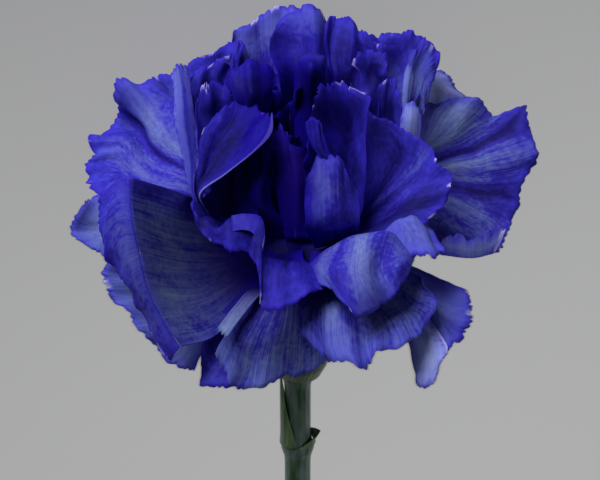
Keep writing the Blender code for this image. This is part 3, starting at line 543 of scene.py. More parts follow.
# The low petals on the side that faces up
lowPetals = dict(
    leftBowl=dict(seed=12, tone=0.05, ashen=0.65, inner=-0.02, bandCut=1.4, tooth=0, frillSize=0,
                  crumple=0, sway=0, rows=40,
                  stripes=[(1, 0.35, -0.12), (-0.3, 0.4, 0.03)], lines=[
        [(-4, 19.5, 16), (-4, 23, 17)],
        [(-5.5, 17.5, 19.5), (-7.5, 22, 20)],
        [(-7, 13.5, 19), (-11.5, 15.5, 18), (-13.5, 21, 18), (-13.5, 27, 21)],
        [(-12.5, 7, 23), (-17, 14, 22), (-19.5, 22, 23), (-18.5, 29.3, 27)],
        bowlEdge]),
    # inner lightens it towards the crease that it shares with the bowl: a painted highlight along the
    # fold
    bowlRim=dict(seed=64, tone=-0.06, inner=0.1, frillSize=0.25, crumple=0.6, columns=150, rows=16,
                 lines=[
        bowlEdge,
        [(-19, 4.2, 27), (-21.7, 8.8, 28.5), (-24.3, 13.9, 30.6), (-26, 18.6, 32.2), (-27, 23.9, 33.4),
         (-27.2, 27.6, 33.8), (-27, 31.2, 34)],
        [(-19.5, 3.2, 25.5), (-22.8, 7.2, 26.5), (-25.4, 12, 28), (-27.4, 15.8, 29), (-29.7, 19.5, 29.5),
         (-30.3, 25.6, 30.5), (-29.8, 29.8, 31)]]),
    leftUnder=dict(seed=13, tone=0.14, ashen=0.6, lines=[
        [(-2.5, 20.5, 14), (-4, 22.5, 14.5)],
        [(-6.5, 16.5, 17), (-8.5, 19.5, 15.5)],
        [(-13, 8, 18.5), (-16, 13, 17), (-18, 19, 16)],
        [(-16.3, 1, 23), (-20, 2, 22.5), (-22, 4.1, 22), (-24.9, 6.5, 22), (-26.7, 9.6, 21),
         (-29.7, 13.2, 20), (-30.7, 15.8, 20), (-29.5, 20, 19)]]),
    lowLeft=dict(seed=31, tone=-0.02, lines=[
        [(-3, 20, 14), (0, 20, 14)],
        [(-7.5, 15.5, 20.5), (-2, 15.5, 21.5)],
        [(-13.5, 8.5, 21), (-4, 8, 21.5)],
        [(-15.2, 4.5, 21), (-15, -1.3, 21.5), (-10.4, -2, 22), (-6, 1, 22)]]),
    # inner darkens its claw end: painted shade where the lips above it overhang
    bottomLeft=dict(seed=14, tone=0.12, ashen=0.65, inner=-0.25, bandCut=1.6, lines=[
        [(-3, 20.5, 15), (1, 20.5, 15)],
        [(-7, 13.5, 23.5), (-4, 12.5, 26), (0, 12.5, 27), (3.5, 13, 27)],
        [(-12.7, 3.8, 25.5), (-11.9, 1.6, 25), (-10.6, -1.5, 24.5), (-7.2, -1.3, 24), (-3.4, -0.6, 23.5),
         (0.3, 0.1, 23.5), (3.6, 2, 23.5), (5.4, 3.6, 24)]]),
    greyStrip=dict(seed=32, tone=0.22, ashen=0.9, bandCut=4, tooth=0.3, frillSize=0.05, crumple=0.1,
                   sway=0.05, columns=40, lines=[
        [(-2.5, 20.5, 15), (-1, 20.5, 15)],
        [(-6, 15, 21), (-4, 15, 22)],
        [(-8.5, 13.2, 26), (-6.7, 12.4, 27)],
        [(-12.6, 7.9, 27), (-11.1, 6.6, 28)]]),
    bottomRight=dict(seed=15, tone=0.05, ashen=0.4, bandCut=1.2, tooth=0.5, lines=[
        [(1, 20.5, 15), (6, 20.5, 15.5)],
        [(1, 17, 20), (7, 17, 22), (13, 18, 21)],
        [(0.3, 13.8, 25), (2.8, 12.2, 28), (6, 11.4, 29.5), (9.3, 10.2, 30), (12.5, 10.2, 29.5),
         (15.8, 11.4, 28), (18.2, 13.5, 26), (19, 16.3, 23)],
        [(0.3, 9.3, 29), (1.3, 7, 30), (2.4, 5.2, 31), (3.9, 3.7, 32.5), (5.7, 3.3, 34), (7.5, 3.4, 35),
         (8.8, 2.6, 35.5), (10.1, 2.4, 35.5), (11.7, 3.3, 35), (12.7, 4.7, 34), (15, 5, 33),
         (16.9, 6, 32), (19, 7, 31), (20.3, 8.6, 29.5), (21.3, 10.4, 28.5), (21.6, 11.9, 27.5),
         (21, 13.8, 26), (19.7, 16.1, 24.5)]]),
    rightDangle=dict(seed=16, tone=0.1, lines=[
        [(7, 20.5, 14), (7, 22, 14)],
        [(17, 13, 21), (17.7, 16.5, 20), (18.2, 17.6, 19)],
        [(20.5, 5.7, 25), (22, 8.2, 25), (23.3, 11.2, 23.5), (24, 14.8, 21)],
        [(22.4, 3.9, 27), (23.4, 5, 27), (24.8, 5.7, 26), (26.8, 8.6, 25), (27.4, 12.1, 23.5),
         (26.7, 13.8, 22)]]),
    # Its pale tone partly paints light on a flap that lies in the shade of the petals above it
    dangleTip=dict(seed=65, tone=0.55, columns=70, lines=[
        [(6, 20, 14), (7, 20.5, 14)],
        [(15, 13, 20), (17, 13.5, 20.5)],
        [(17.6, 6.2, 25), (19.7, 6.2, 26), (22.5, 6.7, 26.5)],
        [(18, 1.9, 26), (19.1, -0.6, 27.5), (20.3, -1.5, 28.5), (21.9, -0.3, 29), (22.5, 2.6, 28.5),
         (23.1, 4.4, 28)]]),
)

# The lips that curl over in front, and the folded petal between them
lipPetals = dict(
    frontLip=dict(seed=17, tone=0.06, ashen=0.1, rows=40,
                  stripes=[(-0.55, 0.1, 0.05), (-0.25, 0.1, -0.1), (0.05, 0.14, 0.1), (0.5, 0.2, -0.05)],
                  lines=[
        [(2, 21, 14), (8, 21.5, 15)],
        [(2, 18.5, 22), (8, 20.5, 24), (14, 21, 23), (18, 20, 20)],
        [(1.95, 18, 27), (4.8, 20.5, 29), (7.6, 22.1, 29.5), (10.9, 22.8, 29.5), (14, 23.1, 29),
         (16.6, 21.1, 27.5), (19.7, 20.5, 25)],
        [(2.1, 17.1, 28.5), (3.9, 17.4, 31.5), (6.8, 17.4, 34.2), (9.8, 16.7, 34.5), (12.5, 17.4, 32),
         (15.3, 17.9, 32), (18.2, 19.5, 28)],
        [(2.4, 16.1, 29), (4.4, 14.8, 32), (6.3, 13.2, 34.5), (8, 11.4, 36), (9.6, 10.2, 36),
         (11.7, 11.2, 34), (13.3, 12.4, 33), (15, 13.7, 33), (16.1, 15.1, 32), (16.9, 17.1, 30.5),
         (17.7, 19.2, 28)]]),
    rightLip=dict(seed=18, tone=0.12, columns=80, lines=[
        [(7.5, 21.5, 15), (8, 22.5, 15)],
        [(14, 22, 21), (16.5, 24, 22), (19, 24, 21)],
        [(12.8, 22.3, 25), (16.3, 25, 27), (18.8, 25.1, 27), (20.8, 23.8, 25.5)],
        [(14.8, 18.8, 27), (15.9, 18.1, 28.5), (17.8, 19.2, 29.5), (19.8, 19.2, 30), (21.2, 18.8, 29.5),
         (22.6, 20.2, 27.5)]]),
    frontFold=dict(seed=19, tone=-0.14, tooth=0.5, columns=150, rows=36,
                   stripes=[(0.62, 0.05, -0.12), (0.8, 0.12, 0.08)], lines=[
        [(-3.5, 21, 14), (1, 21, 14.5)],
        [(-12, 24.5, 21), (-8.5, 20, 23), (-4, 18, 24), (1, 19, 24)],
        [(-16.2, 27.8, 25), (-15.4, 25.4, 27), (-13.8, 25.3, 28), (-12, 23.6, 28.5), (-10, 25.4, 28.5),
         (-6.8, 25.5, 28.5), (-5.5, 22.9, 29.5), (-5.7, 20.3, 30.5), (-4.2, 18.6, 31), (-1, 17.8, 31),
         (2.2, 17.9, 29)],
        [(-16.6, 27, 26), (-15.6, 23.8, 28), (-14, 21.8, 29.5), (-12, 21.2, 30), (-10.2, 20.3, 31),
         (-8.2, 20.6, 31.5), (-6.8, 18.5, 32), (-5.6, 14.8, 33), (-5, 10.4, 34), (0.3, 12.5, 34),
         (4.4, 14.6, 32)]]),
    foldCurl=dict(seed=27, tone=0.12, tooth=0.1, frillSize=0, sway=0, columns=40, rows=40, lines=[
        [(-10.2, 25.6, 29.5), (-10, 23.2, 30.5)],
        [(-8, 25.9, 29.8), (-8.2, 23.4, 31)],
        [(-5.6, 25.2, 30), (-6.8, 22.8, 31.5)],
        [(-5.1, 22.5, 30.5), (-6.9, 21.8, 31.8)],
        [(-5.2, 19, 31.5), (-6.4, 18.4, 32.3)]]),
    # A dark sheet over the claws in the hollow: its deep tone and full heart darkening are partly dye and
    # partly painted shade
    hollowFloor=dict(seed=33, tone=-0.5, heartDyeAndShade=1.0, tooth=0.3, lines=[
        [(-4, 16, 15), (6, 16, 15)],
        [(-9, 17.5, 18), (0, 17, 18.5), (9, 17.5, 18)],
        [(-14, 26, 19), (-7, 25, 16), (0, 24, 16), (9, 26, 18)]]),
    centreFront=dict(seed=20, tone=-0.03, ashen=0.2, inner=-0.14, crumple=0.7, rows=36,
                     stripes=[(-0.45, 0.3, 0.06), (0.85, 0.3, -0.12)], lines=[
        [(2.8, 20.5, 18), (8, 21.5, 18)],
        [(1.3, 24, 27), (5.2, 24.5, 30), (9.6, 24, 28)],
        [(1.2, 29, 27.5), (5.3, 30.5, 30.5), (9.5, 28, 28)],
        [(1.5, 31, 28), (2.6, 34.3, 29.3), (4.1, 36.3, 30), (5.6, 35.8, 30.2), (7.4, 33, 30),
         (9.2, 29.8, 28.7)]]),
)

# The petals that stand up round the heart
standingPetals = dict(
    centreTop=dict(seed=21, tone=-0.17, inner=-0.1, tooth=1.2, frillSize=0.8, crumple=0.9, lines=[
        [(4.5, 23, 18), (8, 23, 18)],
        [(5.2, 28.5, 22), (7.6, 28.5, 21), (10.4, 27, 23)],
        [(4.4, 36.6, 25), (7.6, 37.4, 23), (10.7, 36.6, 26)],
        [(2, 41, 28), (2, 44.1, 28.5), (3.7, 45.5, 27.5), (6, 46.7, 27), (7.2, 47, 27), (9.4, 45.9, 27.5),
         (10.8, 43.6, 28.5)]]),
    twistedStrip=dict(seed=41, tone=-0.22, tooth=0.3, crumple=0.2, columns=50, rows=30, lines=[
        [(5, 22, 24), (6, 22, 24)],
        [(4.8, 31.5, 28), (6.6, 32, 28.5)],
        [(1.9, 37, 29.3), (3.4, 36, 30), (4.8, 35.5, 29.5)],
        [(1.1, 39.5, 29.5), (1.8, 41, 30), (3, 40.8, 30.3), (3.9, 39.2, 30.3)]]),
    tipPetal=dict(seed=42, tone=0.1, tooth=0.7, crumple=0.4, columns=70, rows=30, lines=[
        [(-2, 22, 18), (2, 22, 18)],
        [(-3.5, 30, 20.5), (0, 30, 22.5), (2.6, 30, 21)],
        [(-3.4, 35.5, 21), (-0.5, 35, 23.5), (2.2, 34, 22)],
        [(-3.6, 39.5, 21), (-2.6, 40.6, 21.5), (-1.6, 39, 22.5), (-0.6, 37.2, 23.3), (0.8, 36.6, 23.3),
         (2, 35.4, 22.5)]]),
    # These folds in the hollow have deep tones: partly deeper dye and partly painted shade of the hollow
    darkWall=dict(seed=43, tone=-0.4, tooth=0.4, columns=60, rows=24, lines=[
        [(-4, 22, 16), (-2, 22, 16)],
        [(-14, 26, 20), (-10, 25, 19), (-6, 25, 21)],
        [(-15.4, 28.6, 22), (-10, 35, 20), (-5, 40, 22)]]),
    darkFold=dict(seed=44, tone=-0.35, tooth=0.4, columns=60, rows=24, lines=[
        [(-3, 22, 17), (0, 22, 17)],
        [(-8, 28, 20), (-6, 28, 23), (-4, 28, 20)],
        [(-8.2, 36, 20), (-5.5, 37, 22.5), (-3, 36, 19)]]),
    rightStand=dict(seed=22, tone=-0.2, ashen=0.15, crumple=0.4, sway=0.3,
                    stripes=[(-0.3, 0.12, 0.12), (0.05, 0.14, 0.1), (0.75, 0.3, -0.2)], lines=[
        [(6, 22, 15), (8, 21, 16)],
        [(10.3, 30, 23), (13, 29.5, 21.5), (14.5, 26.5, 22.5), (12.3, 22.2, 24)],
        [(10.6, 37, 23.5), (15.5, 35.5, 22), (18.5, 31.5, 23), (18, 27.5, 25), (15.3, 23.4, 25.5)],
        [(10.9, 43, 23.5), (12.5, 41.5, 23.5), (14.6, 40.4, 23.5), (17.4, 38.9, 24), (20.3, 36.8, 24.5),
         (22.4, 34.2, 25.5), (24.2, 31.9, 26.5), (24, 28.5, 27), (21, 25.2, 27.5), (16.6, 23.4, 27)]]),
    leftRagged=dict(seed=66, tone=-0.2, tooth=1.3, frillSize=0.8, crumple=1.1, rows=36, lines=[
        [(-4, 20, 16.5), (-3, 22, 17)],
        [(-12.8, 22.5, 20), (-11.5, 23.5, 21)],
        [(-16.6, 28, 22.8), (-14.8, 29, 23)],
        [(-15.8, 36, 20.5), (-12.5, 37, 19), (-9.5, 37.5, 20)],
        [(-15.6, 43.5, 20), (-15, 45, 19.5), (-14, 46.4, 19), (-12.4, 47.2, 18.5), (-10.7, 46.3, 19),
         (-9.6, 44.8, 20)]]),
    leftStand=dict(seed=23, tone=-0.08, inner=-0.5, tooth=1.0, frillSize=0.6, crumple=0.5, sway=0.2,
                   rows=40, lines=[
        [(-4, 20, 16.5), (-3, 22, 17)],
        [(-12.8, 22.5, 20.5), (-11.5, 23.5, 21.5)],
        [(-16.6, 28, 24.3), (-15.3, 28.9, 25.3)],
        [(-15.9, 32.5, 24.5), (-13.8, 33, 24), (-10.8, 32.5, 26.5)],
        [(-15.4, 36.8, 24), (-12.5, 38, 23), (-9, 37.5, 24), (-6.3, 36, 26.8)],
        [(-14.8, 39.2, 23), (-13, 42, 22), (-11, 43.4, 21.5), (-8.9, 44, 21.5), (-6.4, 43.3, 22.5),
         (-5.2, 41.8, 24.5), (-4.1, 40.6, 27), (-4.3, 38.5, 28)]]),
    # A thin strip along the near edge of leftStand; its pale tone paints the highlight that this edge
    # catches
    leftEdgeHighlight=dict(seed=67, tone=0.3, bandCut=2, tooth=0, frillSize=0, crumple=0, sway=0, columns=20,
                  rows=60, lines=[
        [(-14, 26, 23.5), (-13.8, 25.8, 23.6)],
        [(-15.3, 29.2, 26), (-15.1, 29, 26.1)],
        [(-11.3, 32.2, 27), (-11.2, 32, 27.1)],
        [(-6.7, 35.9, 27.5), (-6.5, 35.7, 27.6)],
        [(-4.5, 38.9, 28.4), (-4, 38.4, 28.6)],
        [(-4, 41.6, 28.6), (-3.8, 41.4, 28.7)]]),
    # Its top is paler than its claw end by inner: a painted highlight where its margin catches light
    leftPink=dict(seed=24, tone=0.2, inner=-0.3, tooth=0.5, frillSize=0.1, crumple=0.15, sway=0.05,
                  columns=60,
                  stripes=[(-0.85, 0.25, 0.2), (0.25, 0.3, -0.2), (0.95, 0.12, 0.15)], lines=[
        [(-4, 21, 16), (-3, 23, 17)],
        [(-13, 23, 21), (-12, 23.5, 21.5)],
        [(-16.4, 28.3, 25.4), (-15.9, 28.7, 25.5)],
        [(-18, 34.5, 25.3), (-16.9, 34.8, 25.2), (-15.9, 34.6, 24.6)],
        [(-19.3, 40.5, 24.8), (-17.8, 41, 25.2), (-16.2, 40.7, 24.2)],
        [(-19.4, 44.5, 24.3), (-18.2, 45.2, 24.6), (-16.8, 45, 23.8)],
        [(-20, 47.8, 23.8), (-18.8, 49.4, 24), (-17.2, 49, 23)]]),
)

# The crown of upright petals on the far side of the heart. The drawn ones darken towards their claws by
# inner: painted shade under their lit tops.
crownPetals = dict(
    topRight=dict(azimuth=58, length=29, spread=28, lean=(66, 44), bend=0.9, cup=(25, 20),
                  wave=(3, 20, 90), root=8, rise=27, seed=5, layer=3),
    topBack=dict(azimuth=92, length=30, spread=24, lean=(70, 48), bend=0.9, cup=(30, 22),
                 wave=(2.5, 14, 200), root=8, rise=27, seed=7, layer=3),
    topLeft=dict(azimuth=120, length=27, spread=28, lean=(66, 44), bend=0.8, cup=(25, 15),
                 wave=(3, 20, 70), root=8, rise=27, seed=9, layer=3),
    paleHood=dict(seed=51, tone=0.06, layer=2, inner=-0.5, tooth=0.5, frillSize=0.3, crumple=0.4,
                  sway=0.2, lines=[
        [(-2, 24, 9), (1, 24, 9)],
        [(-9.5, 43, 12), (-6, 44, 10.5), (-2, 44, 10.5)],
        [(-10.6, 50, 12.5), (-7.5, 51.5, 10.5), (-3.5, 52.5, 10), (0.5, 52.5, 11)],
        [(-10.7, 54.1, 12.5), (-9.8, 56.1, 11), (-8.1, 57.4, 10.5), (-5.9, 59, 10), (-3.7, 60, 9.5),
         (-1.3, 60.1, 9.5), (1.2, 59.2, 10)]]),
    brightHood=dict(seed=52, tone=0.02, layer=2, inner=-0.8, tooth=0.3, frillSize=0.1, crumple=0.3,
                    sway=0.1, lines=[
        [(-1.5, 24, 9), (1.5, 24, 9)],
        [(-2.8, 46, 16), (0, 47, 14), (2.5, 47, 14.5), (4.4, 46, 15)],
        [(-4.4, 51.5, 15), (-1.8, 52.5, 13), (1, 52.5, 13.5), (3, 52, 14.5), (4.8, 50.5, 13.5)],
        [(-4.2, 54.5, 14.5), (-3.3, 56.9, 13), (-2.1, 58, 12.5), (0, 59.2, 12.5), (2.2, 59.7, 13.5),
         (3.8, 58.7, 13), (4.8, 57, 12)]]),
    leftHood=dict(seed=53, tone=-0.1, layer=2, inner=-0.6, tooth=0.5, frillSize=0.5, crumple=0.7,
                  sway=0.2, lines=[
        [(-3, 23, 9), (-1, 23, 9)],
        [(-15.5, 43, 15.5), (-12, 44.5, 13.5), (-8.5, 45.5, 14.5)],
        [(-17.5, 47.3, 15), (-14, 49.5, 13), (-9.5, 50, 13.5)],
        [(-19.2, 49.6, 15), (-18, 50.8, 14), (-16.4, 51.8, 13.5), (-13.5, 53.3, 13), (-10.7, 54.3, 13),
         (-8.8, 53, 13.5)]]),
    darkRound=dict(seed=54, tone=-0.16, inner=-1.0, tooth=0.4, frillSize=0.2, crumple=0.5, columns=80,
                   rows=30, lines=[
        [(-2, 24, 15), (0, 24, 15)],
        [(-9.5, 41, 19), (-7, 41, 21), (-4, 41, 19)],
        [(-10.4, 45, 20), (-7, 45.2, 23.5), (-3.6, 45, 20.5)],
        [(-11.1, 47, 20), (-10, 48.9, 20), (-8.6, 50.1, 20.3), (-6.5, 50.3, 20.5), (-4.6, 49.8, 20.5),
         (-3.3, 48.3, 20.5)]]),
    darkLeft=dict(seed=55, tone=-0.22, inner=-0.5, tooth=0.4, frillSize=0.3, crumple=0.8, columns=80,
                  rows=26, lines=[
        [(-3, 23, 12), (-1, 23, 12)],
        [(-16.5, 42, 18.5), (-13.5, 43, 17), (-10, 43, 18)],
        [(-17.4, 46.8, 18.5), (-16, 48.8, 17.5), (-14, 49.6, 17.5), (-11.9, 49.8, 17.5),
         (-10.2, 48.6, 18.5)]]),
    # Its body darkens steeply under its pale top: painted shade below a painted highlight
    roundBud=dict(seed=56, tone=0.12, inner=-2.0, tooth=0.2, frillSize=0.1, crumple=0.2, columns=60,
                  rows=30, lines=[
        [(0.5, 25, 16), (3, 25, 16)],
        [(-0.6, 41.5, 19), (2, 41.5, 20.5), (5, 41.5, 19)],
        [(-0.6, 45.5, 20), (2.2, 45.5, 23), (5, 45.5, 20)],
        [(-0.4, 48.5, 20.5), (2.4, 48.8, 24.3), (4.9, 48.5, 20.5)],
        [(-0.3, 49.5, 20), (0.5, 50.8, 20.5), (1.6, 51.4, 21), (3.3, 51.4, 21), (4.3, 50.6, 20.5),
         (4.8, 49.2, 20)]]),
    crumpledTop=dict(seed=157, tone=-0.12, inner=-0.6, tooth=0.6, frillSize=0.6, crumple=0.9, columns=100,
                     rows=30, lines=[
        [(2, 25, 12), (4, 25, 12)],
        [(4.2, 45, 18), (7, 45.5, 16.5), (10.5, 44.5, 18)],
        [(3.9, 51.5, 17), (6.5, 52.5, 15.5), (9.5, 51.5, 16), (11.5, 49.5, 17)],
        [(4.6, 56.9, 15.5), (5.7, 57.8, 15), (7.6, 58, 15), (8.8, 57.2, 15), (9.6, 55.5, 15.5),
         (10.8, 55, 16), (11.6, 53.2, 17)]]),
    rightHood=dict(seed=58, tone=-0.08, layer=2, inner=-0.4, frillSize=0.4, crumple=0.6, sway=0.2, lines=[
        [(3, 24.5, 10), (6, 24.5, 10)],
        [(11.5, 43, 13), (15, 44, 11.5), (18.5, 43, 12.5)],
        [(10.3, 49.5, 13), (14, 50.5, 11), (18, 50, 11), (21.2, 48, 12.5)],
        [(10.2, 54.1, 13.5), (11.1, 55.4, 13), (13, 56, 12), (16.6, 56, 11.5), (19.5, 55.4, 11.5),
         (21, 54.3, 12), (22, 52.8, 12.5), (22.3, 50.8, 13.5)]]),
    rightDark=dict(seed=59, tone=-0.22, inner=-0.5, crumple=1.2, sway=0.2, columns=100, rows=30, lines=[
        [(3, 24, 14), (5, 24, 14)],
        [(9, 41, 19.5), (12, 41.5, 18), (15.2, 41, 18.5)],
        [(8.6, 47, 20), (12, 48, 18.5), (15.8, 46.5, 19)],
        [(8.6, 50.8, 20), (9.6, 52, 19), (11.4, 52.6, 18.5), (13.3, 52.9, 18.5), (14.4, 52.3, 18.5),
         (15.4, 50.4, 19), (16, 48.3, 19.5)]]),
    rightDarkIn=dict(seed=60, tone=-0.3, columns=80, rows=26, lines=[
        [(4, 24, 15), (6, 24, 15)],
        [(12, 37.5, 20), (14.1, 38, 19), (16, 37.5, 20)],
        [(12.4, 41.5, 21), (14.4, 42, 19.5), (16.3, 40.5, 21)],
        [(12.7, 45.3, 21), (13.6, 47.2, 20.5), (15.6, 47.8, 20.5), (16.4, 45.5, 21),
         (16.5, 42.5, 21.5)]]),
    paleSliver=dict(seed=61, tone=0.24, ashen=0.4, tooth=0.2, frillSize=0.05, crumple=0.05, sway=0.05,
                    columns=50, rows=30, lines=[
        [(6, 24, 14), (7, 24, 14)],
        [(15.8, 38, 20.5), (17.2, 38, 20.5)],
        [(16.4, 43.5, 22), (17.1, 43.7, 22.4), (17.7, 43.5, 22)],
        [(16.5, 46, 22.3), (17.2, 46.3, 22.9), (18.2, 46, 22.3)],
        [(16.8, 48.2, 22), (17.3, 49.4, 22.2), (17.8, 49.9, 22.2), (18.2, 48.9, 22), (18.4, 47.4, 22)]]),
    paleRound=dict(seed=62, tone=0.3, ashen=0.4, tooth=0.2, frillSize=0.05, crumple=0.05, sway=0.05,
                   columns=60, rows=30, lines=[
        [(7, 24, 15), (8, 24, 15)],
        [(15.8, 33, 20), (18, 33, 20)],
        [(15.9, 37.5, 21.8), (17.6, 38, 22.3), (19.2, 37.5, 21.8)],
        [(16.2, 40.5, 22.5), (17.8, 41, 23.4), (19.4, 40.2, 22.5)],
        [(16.6, 42.3, 22.5), (17.2, 43.4, 22.9), (18.1, 43.7, 22.9), (18.9, 43, 22.8),
         (19.4, 41.6, 22.5)]]),
    rightPale=dict(seed=63, tone=0.04, ashen=0.5, tooth=0.7, frillSize=0.15, crumple=0.2, sway=0.1,
                   columns=90, rows=26, lines=[
        [(5, 24, 12.5), (7, 24, 12.5)],
        [(16, 42, 18), (18, 42.5, 16), (19.4, 40.5, 16.5)],
        [(17, 48, 17.5), (19, 49, 15.5), (20.6, 47, 15.5), (20.3, 43.5, 16)],
        [(17.8, 52, 16.5), (19.5, 53.2, 15.5), (21.3, 53.5, 15), (22.3, 52, 15), (22.3, 49.5, 15),
         (21.6, 46, 15.5), (20.8, 43.5, 16), (20, 41.8, 17)]]),
)

# The petals that the flower rests on
tablePetals = dict(
    tableRight=dict(azimuth=63, length=35, spread=28, lean=(42, -4), bend=0.6, cup=(6, 2), wave=(2, 5, 0),
                    rise=24.5, seed=90),
    tableLeft=dict(azimuth=120, length=35, spread=28, lean=(42, -4), bend=0.6, cup=(6, 2),
                   wave=(2, 5, 60), rise=24.5, seed=91),
    tableMiddle=dict(azimuth=91, length=34, spread=36, lean=(48, 10), bend=0.6, cup=(8, 4),
                     wave=(3, 8, 0), rise=25, seed=92, layer=1),
    tableOver=dict(azimuth=112, length=33, spread=34, lean=(54, 22), bend=0.6, cup=(10, 6),
                   wave=(3, 9, 90), rise=26, seed=93, layer=2),
    tableUnder=dict(azimuth=68, length=33, spread=34, lean=(54, 22), bend=0.6, cup=(10, 6),
                    wave=(3, 9, 180), rise=26, seed=94, layer=2),
)

# The crumpled tuft round the eye: petals at steps of the golden angle, shorter and nearer the axis
# towards the middle, where they sink to a dark eye; none stands in the hollow that opens in front and to
# the left. length, rootLean, tipLean and root are the outermost petal's value and the innermost's. Their
# deep tone is partly dye and partly painted shade of the eye.
tuft = dict(count=26, goldenAngle=137.5, firstAngle=20, hollowAngle=-95, hollowHalfWidth=128,
            length=(25, 14), rootLean=(82, 86), tipLean=(70, 84), root=(9, 1.5), roll=40,
            drawSeed=5, firstSeed=60,
            every=dict(spread=20, bend=1.0, cup=(50, 55), ruffle=16, rise=27, layer=5, crumple=1.2,
                       columns=70, rows=22, tone=-0.3))


# The tuft's petals by name, each value going from the first of its pair to the second
def tuftPetals():
    draw = np.random.default_rng(tuft["drawSeed"])
    petals = {}
    for i in range(tuft["count"]):
        share = i / (tuft["count"] - 1)
        azimuth = tuft["goldenAngle"] * i + tuft["firstAngle"]
        away = abs((azimuth - tuft["hollowAngle"] + 180) % 360 - 180)
        if away > tuft["hollowHalfWidth"]:
            petals[f"tuft{i}"] = dict(
                tuft["every"], azimuth=azimuth, length=mix(tuft["length"], share),
                lean=(mix(tuft["rootLean"], share), mix(tuft["tipLean"], share)),
                roll=draw.uniform(-tuft["roll"], tuft["roll"]), wave=(3, 26, draw.uniform(0, 360)),
                root=mix(tuft["root"], share), seed=tuft["firstSeed"] + i)
    return petals


petalSkin = petalMaterial()
for pieceName, petals in dict(sidePetals=sidePetals, lowPetals=lowPetals, lipPetals=lipPetals,
                              standingPetals=standingPetals, crownPetals=crownPetals,
                              tablePetals=tablePetals, tuftPetals=tuftPetals()).items():
    petalPiece(pieceName, petals, petalSkin)

# Fresh green tissue with the pale waxy bloom of a dianthus: the wax greys and lightens the
# green in patches, and fine ribs run along it. Sizes are in mm: the ribs' width and length,
# and the patches' across and along.
green = dict(ribLength=20, patchWidth=2.86, patchLength=8.33, waxFrom=(0.35, 0.7), ribBump=0.4,
             ribHeight=0.3, surface={"Roughness": 0.42, "IOR": 1.45})
greens = dict(
    calyxGreen=dict(dark="2C4526", fresh="58753F", waxy="7D9484", ribWidth=0.5, waxShare=0.5),
    scaleGreen=dict(dark="2A3C22", fresh="4E643A", waxy="70806C", ribWidth=0.6, waxShare=0.4),
    stemGreen=dict(dark="1A3220", fresh="365E36", waxy="869A98", ribWidth=0.4, waxShare=0.62),
    stemLeafGreen=dict(dark="2F4F2A", fresh="5C7F45", waxy="8C9E90", ribWidth=0.5, waxShare=0.5))


# The ribs' noise goes from dark to fresh, and the wax covers it by up to waxShare
def greenMaterial(name):
    material, shader = newMaterial(name)
    tree, own = material.node_tree, greens[name]
    rays = addNode(tree, "ShaderNodeAttribute", {}, attribute_name="rays").outputs["Vector"]
    rib = rayNoise(tree, rays, (own["ribWidth"], green["ribLength"], 1), 2.0)
    blot = rayNoise(tree, rays, (green["patchWidth"], green["patchLength"], 1), 4.0)
    ramp = addNode(tree, "ShaderNodeValToRGB", {"Fac": rib})
    setStops(ramp, [(0.3, own["dark"]), (0.7, own["fresh"])])
    low, high = green["waxFrom"]
    wax = addNode(tree, "ShaderNodeMapRange", {"Value": blot, 1: low, 2: high, 3: 0.0,
                                               4: own["waxShare"]})
    colour = addNode(tree, "ShaderNodeMix", {"Factor": wax.outputs[0], 6: ramp.outputs[0],
                                             7: linear(own["waxy"])}, data_type="RGBA")
    tree.links.new(colour.outputs[2], shader.inputs["Base Color"])
    bump = addNode(tree, "ShaderNodeBump", {"Height": rib, "Strength": green["ribBump"],
                                            "Distance": green["ribHeight"] * mm})
    tree.links.new(bump.outputs[0], shader.inputs["Normal"])
    for socket, value in green["surface"].items():
        shader.inputs[socket].default_value = value
    return material


# A closed turned form from rings of points (rings, sides, 3), with a pole at each end
def turnedFaces(rings, sides):
    index = np.arange(rings * sides).reshape(rings, sides)
    after = np.roll(index, -1, axis=1)
    quads = np.stack([index[:-1], after[:-1], after[1:], index[1:]], -1).reshape(-1, 4).tolist()
    first, last = rings * sides, rings * sides + 1
    foot = [[first, b, a] for a, b in zip(index[0], after[0])]
    head = [[last, a, b] for a, b in zip(index[-1], after[-1])]
    return quads + foot + head


# The angles round the axis of a form with a number of sides
def anglesOf(sides):
    return 2 * math.pi * np.arange(sides) / sides


# Points and ray coordinates of a turned form: radius and height for each ring and angle.
# even holds further attributes that have one value all over it.
def turnedPiece(name, radius, height, material, replaced, even=None):
    rings, sides = radius.shape
    angles = anglesOf(sides)
    points = np.stack([radius * np.cos(angles), radius * np.sin(angles), height], -1)
    poles = np.stack([points[0].mean(0), points[-1].mean(0)])
    rays = np.stack([np.broadcast_to(angles * radius.max(), radius.shape), height,
                     np.zeros(radius.shape)], -1)
    allPoints = np.concatenate([points.reshape(-1, 3), poles])
    attributes = {key: np.full(len(allPoints), value) for key, value in (even or {}).items()}
    attributes["rays"] = np.concatenate([rays.reshape(-1, 3), rays[[0, -1], 0]])
    piece = meshPiece(name, layDown(allPoints), turnedFaces(rings, sides), material, attributes)
    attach(piece, "root")
    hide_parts(replaced)
    print(name, "has", len(piece.data.polygons), "faces")


# The calyx: a tube that widens to a mouth with five pointed teeth. Its wall goes up outside,
# over the rim and down inside to the floor where the claws come out.
calyx = dict(heights=(0, 2.5, 8, 14, 19, 21, 24), radii=(3.0, 4.2, 5.2, 6.1, 6.9, 7.2, 7.6),
             floor=18.9, mouth=20.2, teeth=5, tooth=3.4, wall=0.45, veins=25, veinDepth=0.05, sides=250)


# Outer radius of the calyx at a height
def calyxRadius(height):
    return np.interp(height, calyx["heights"], calyx["radii"])


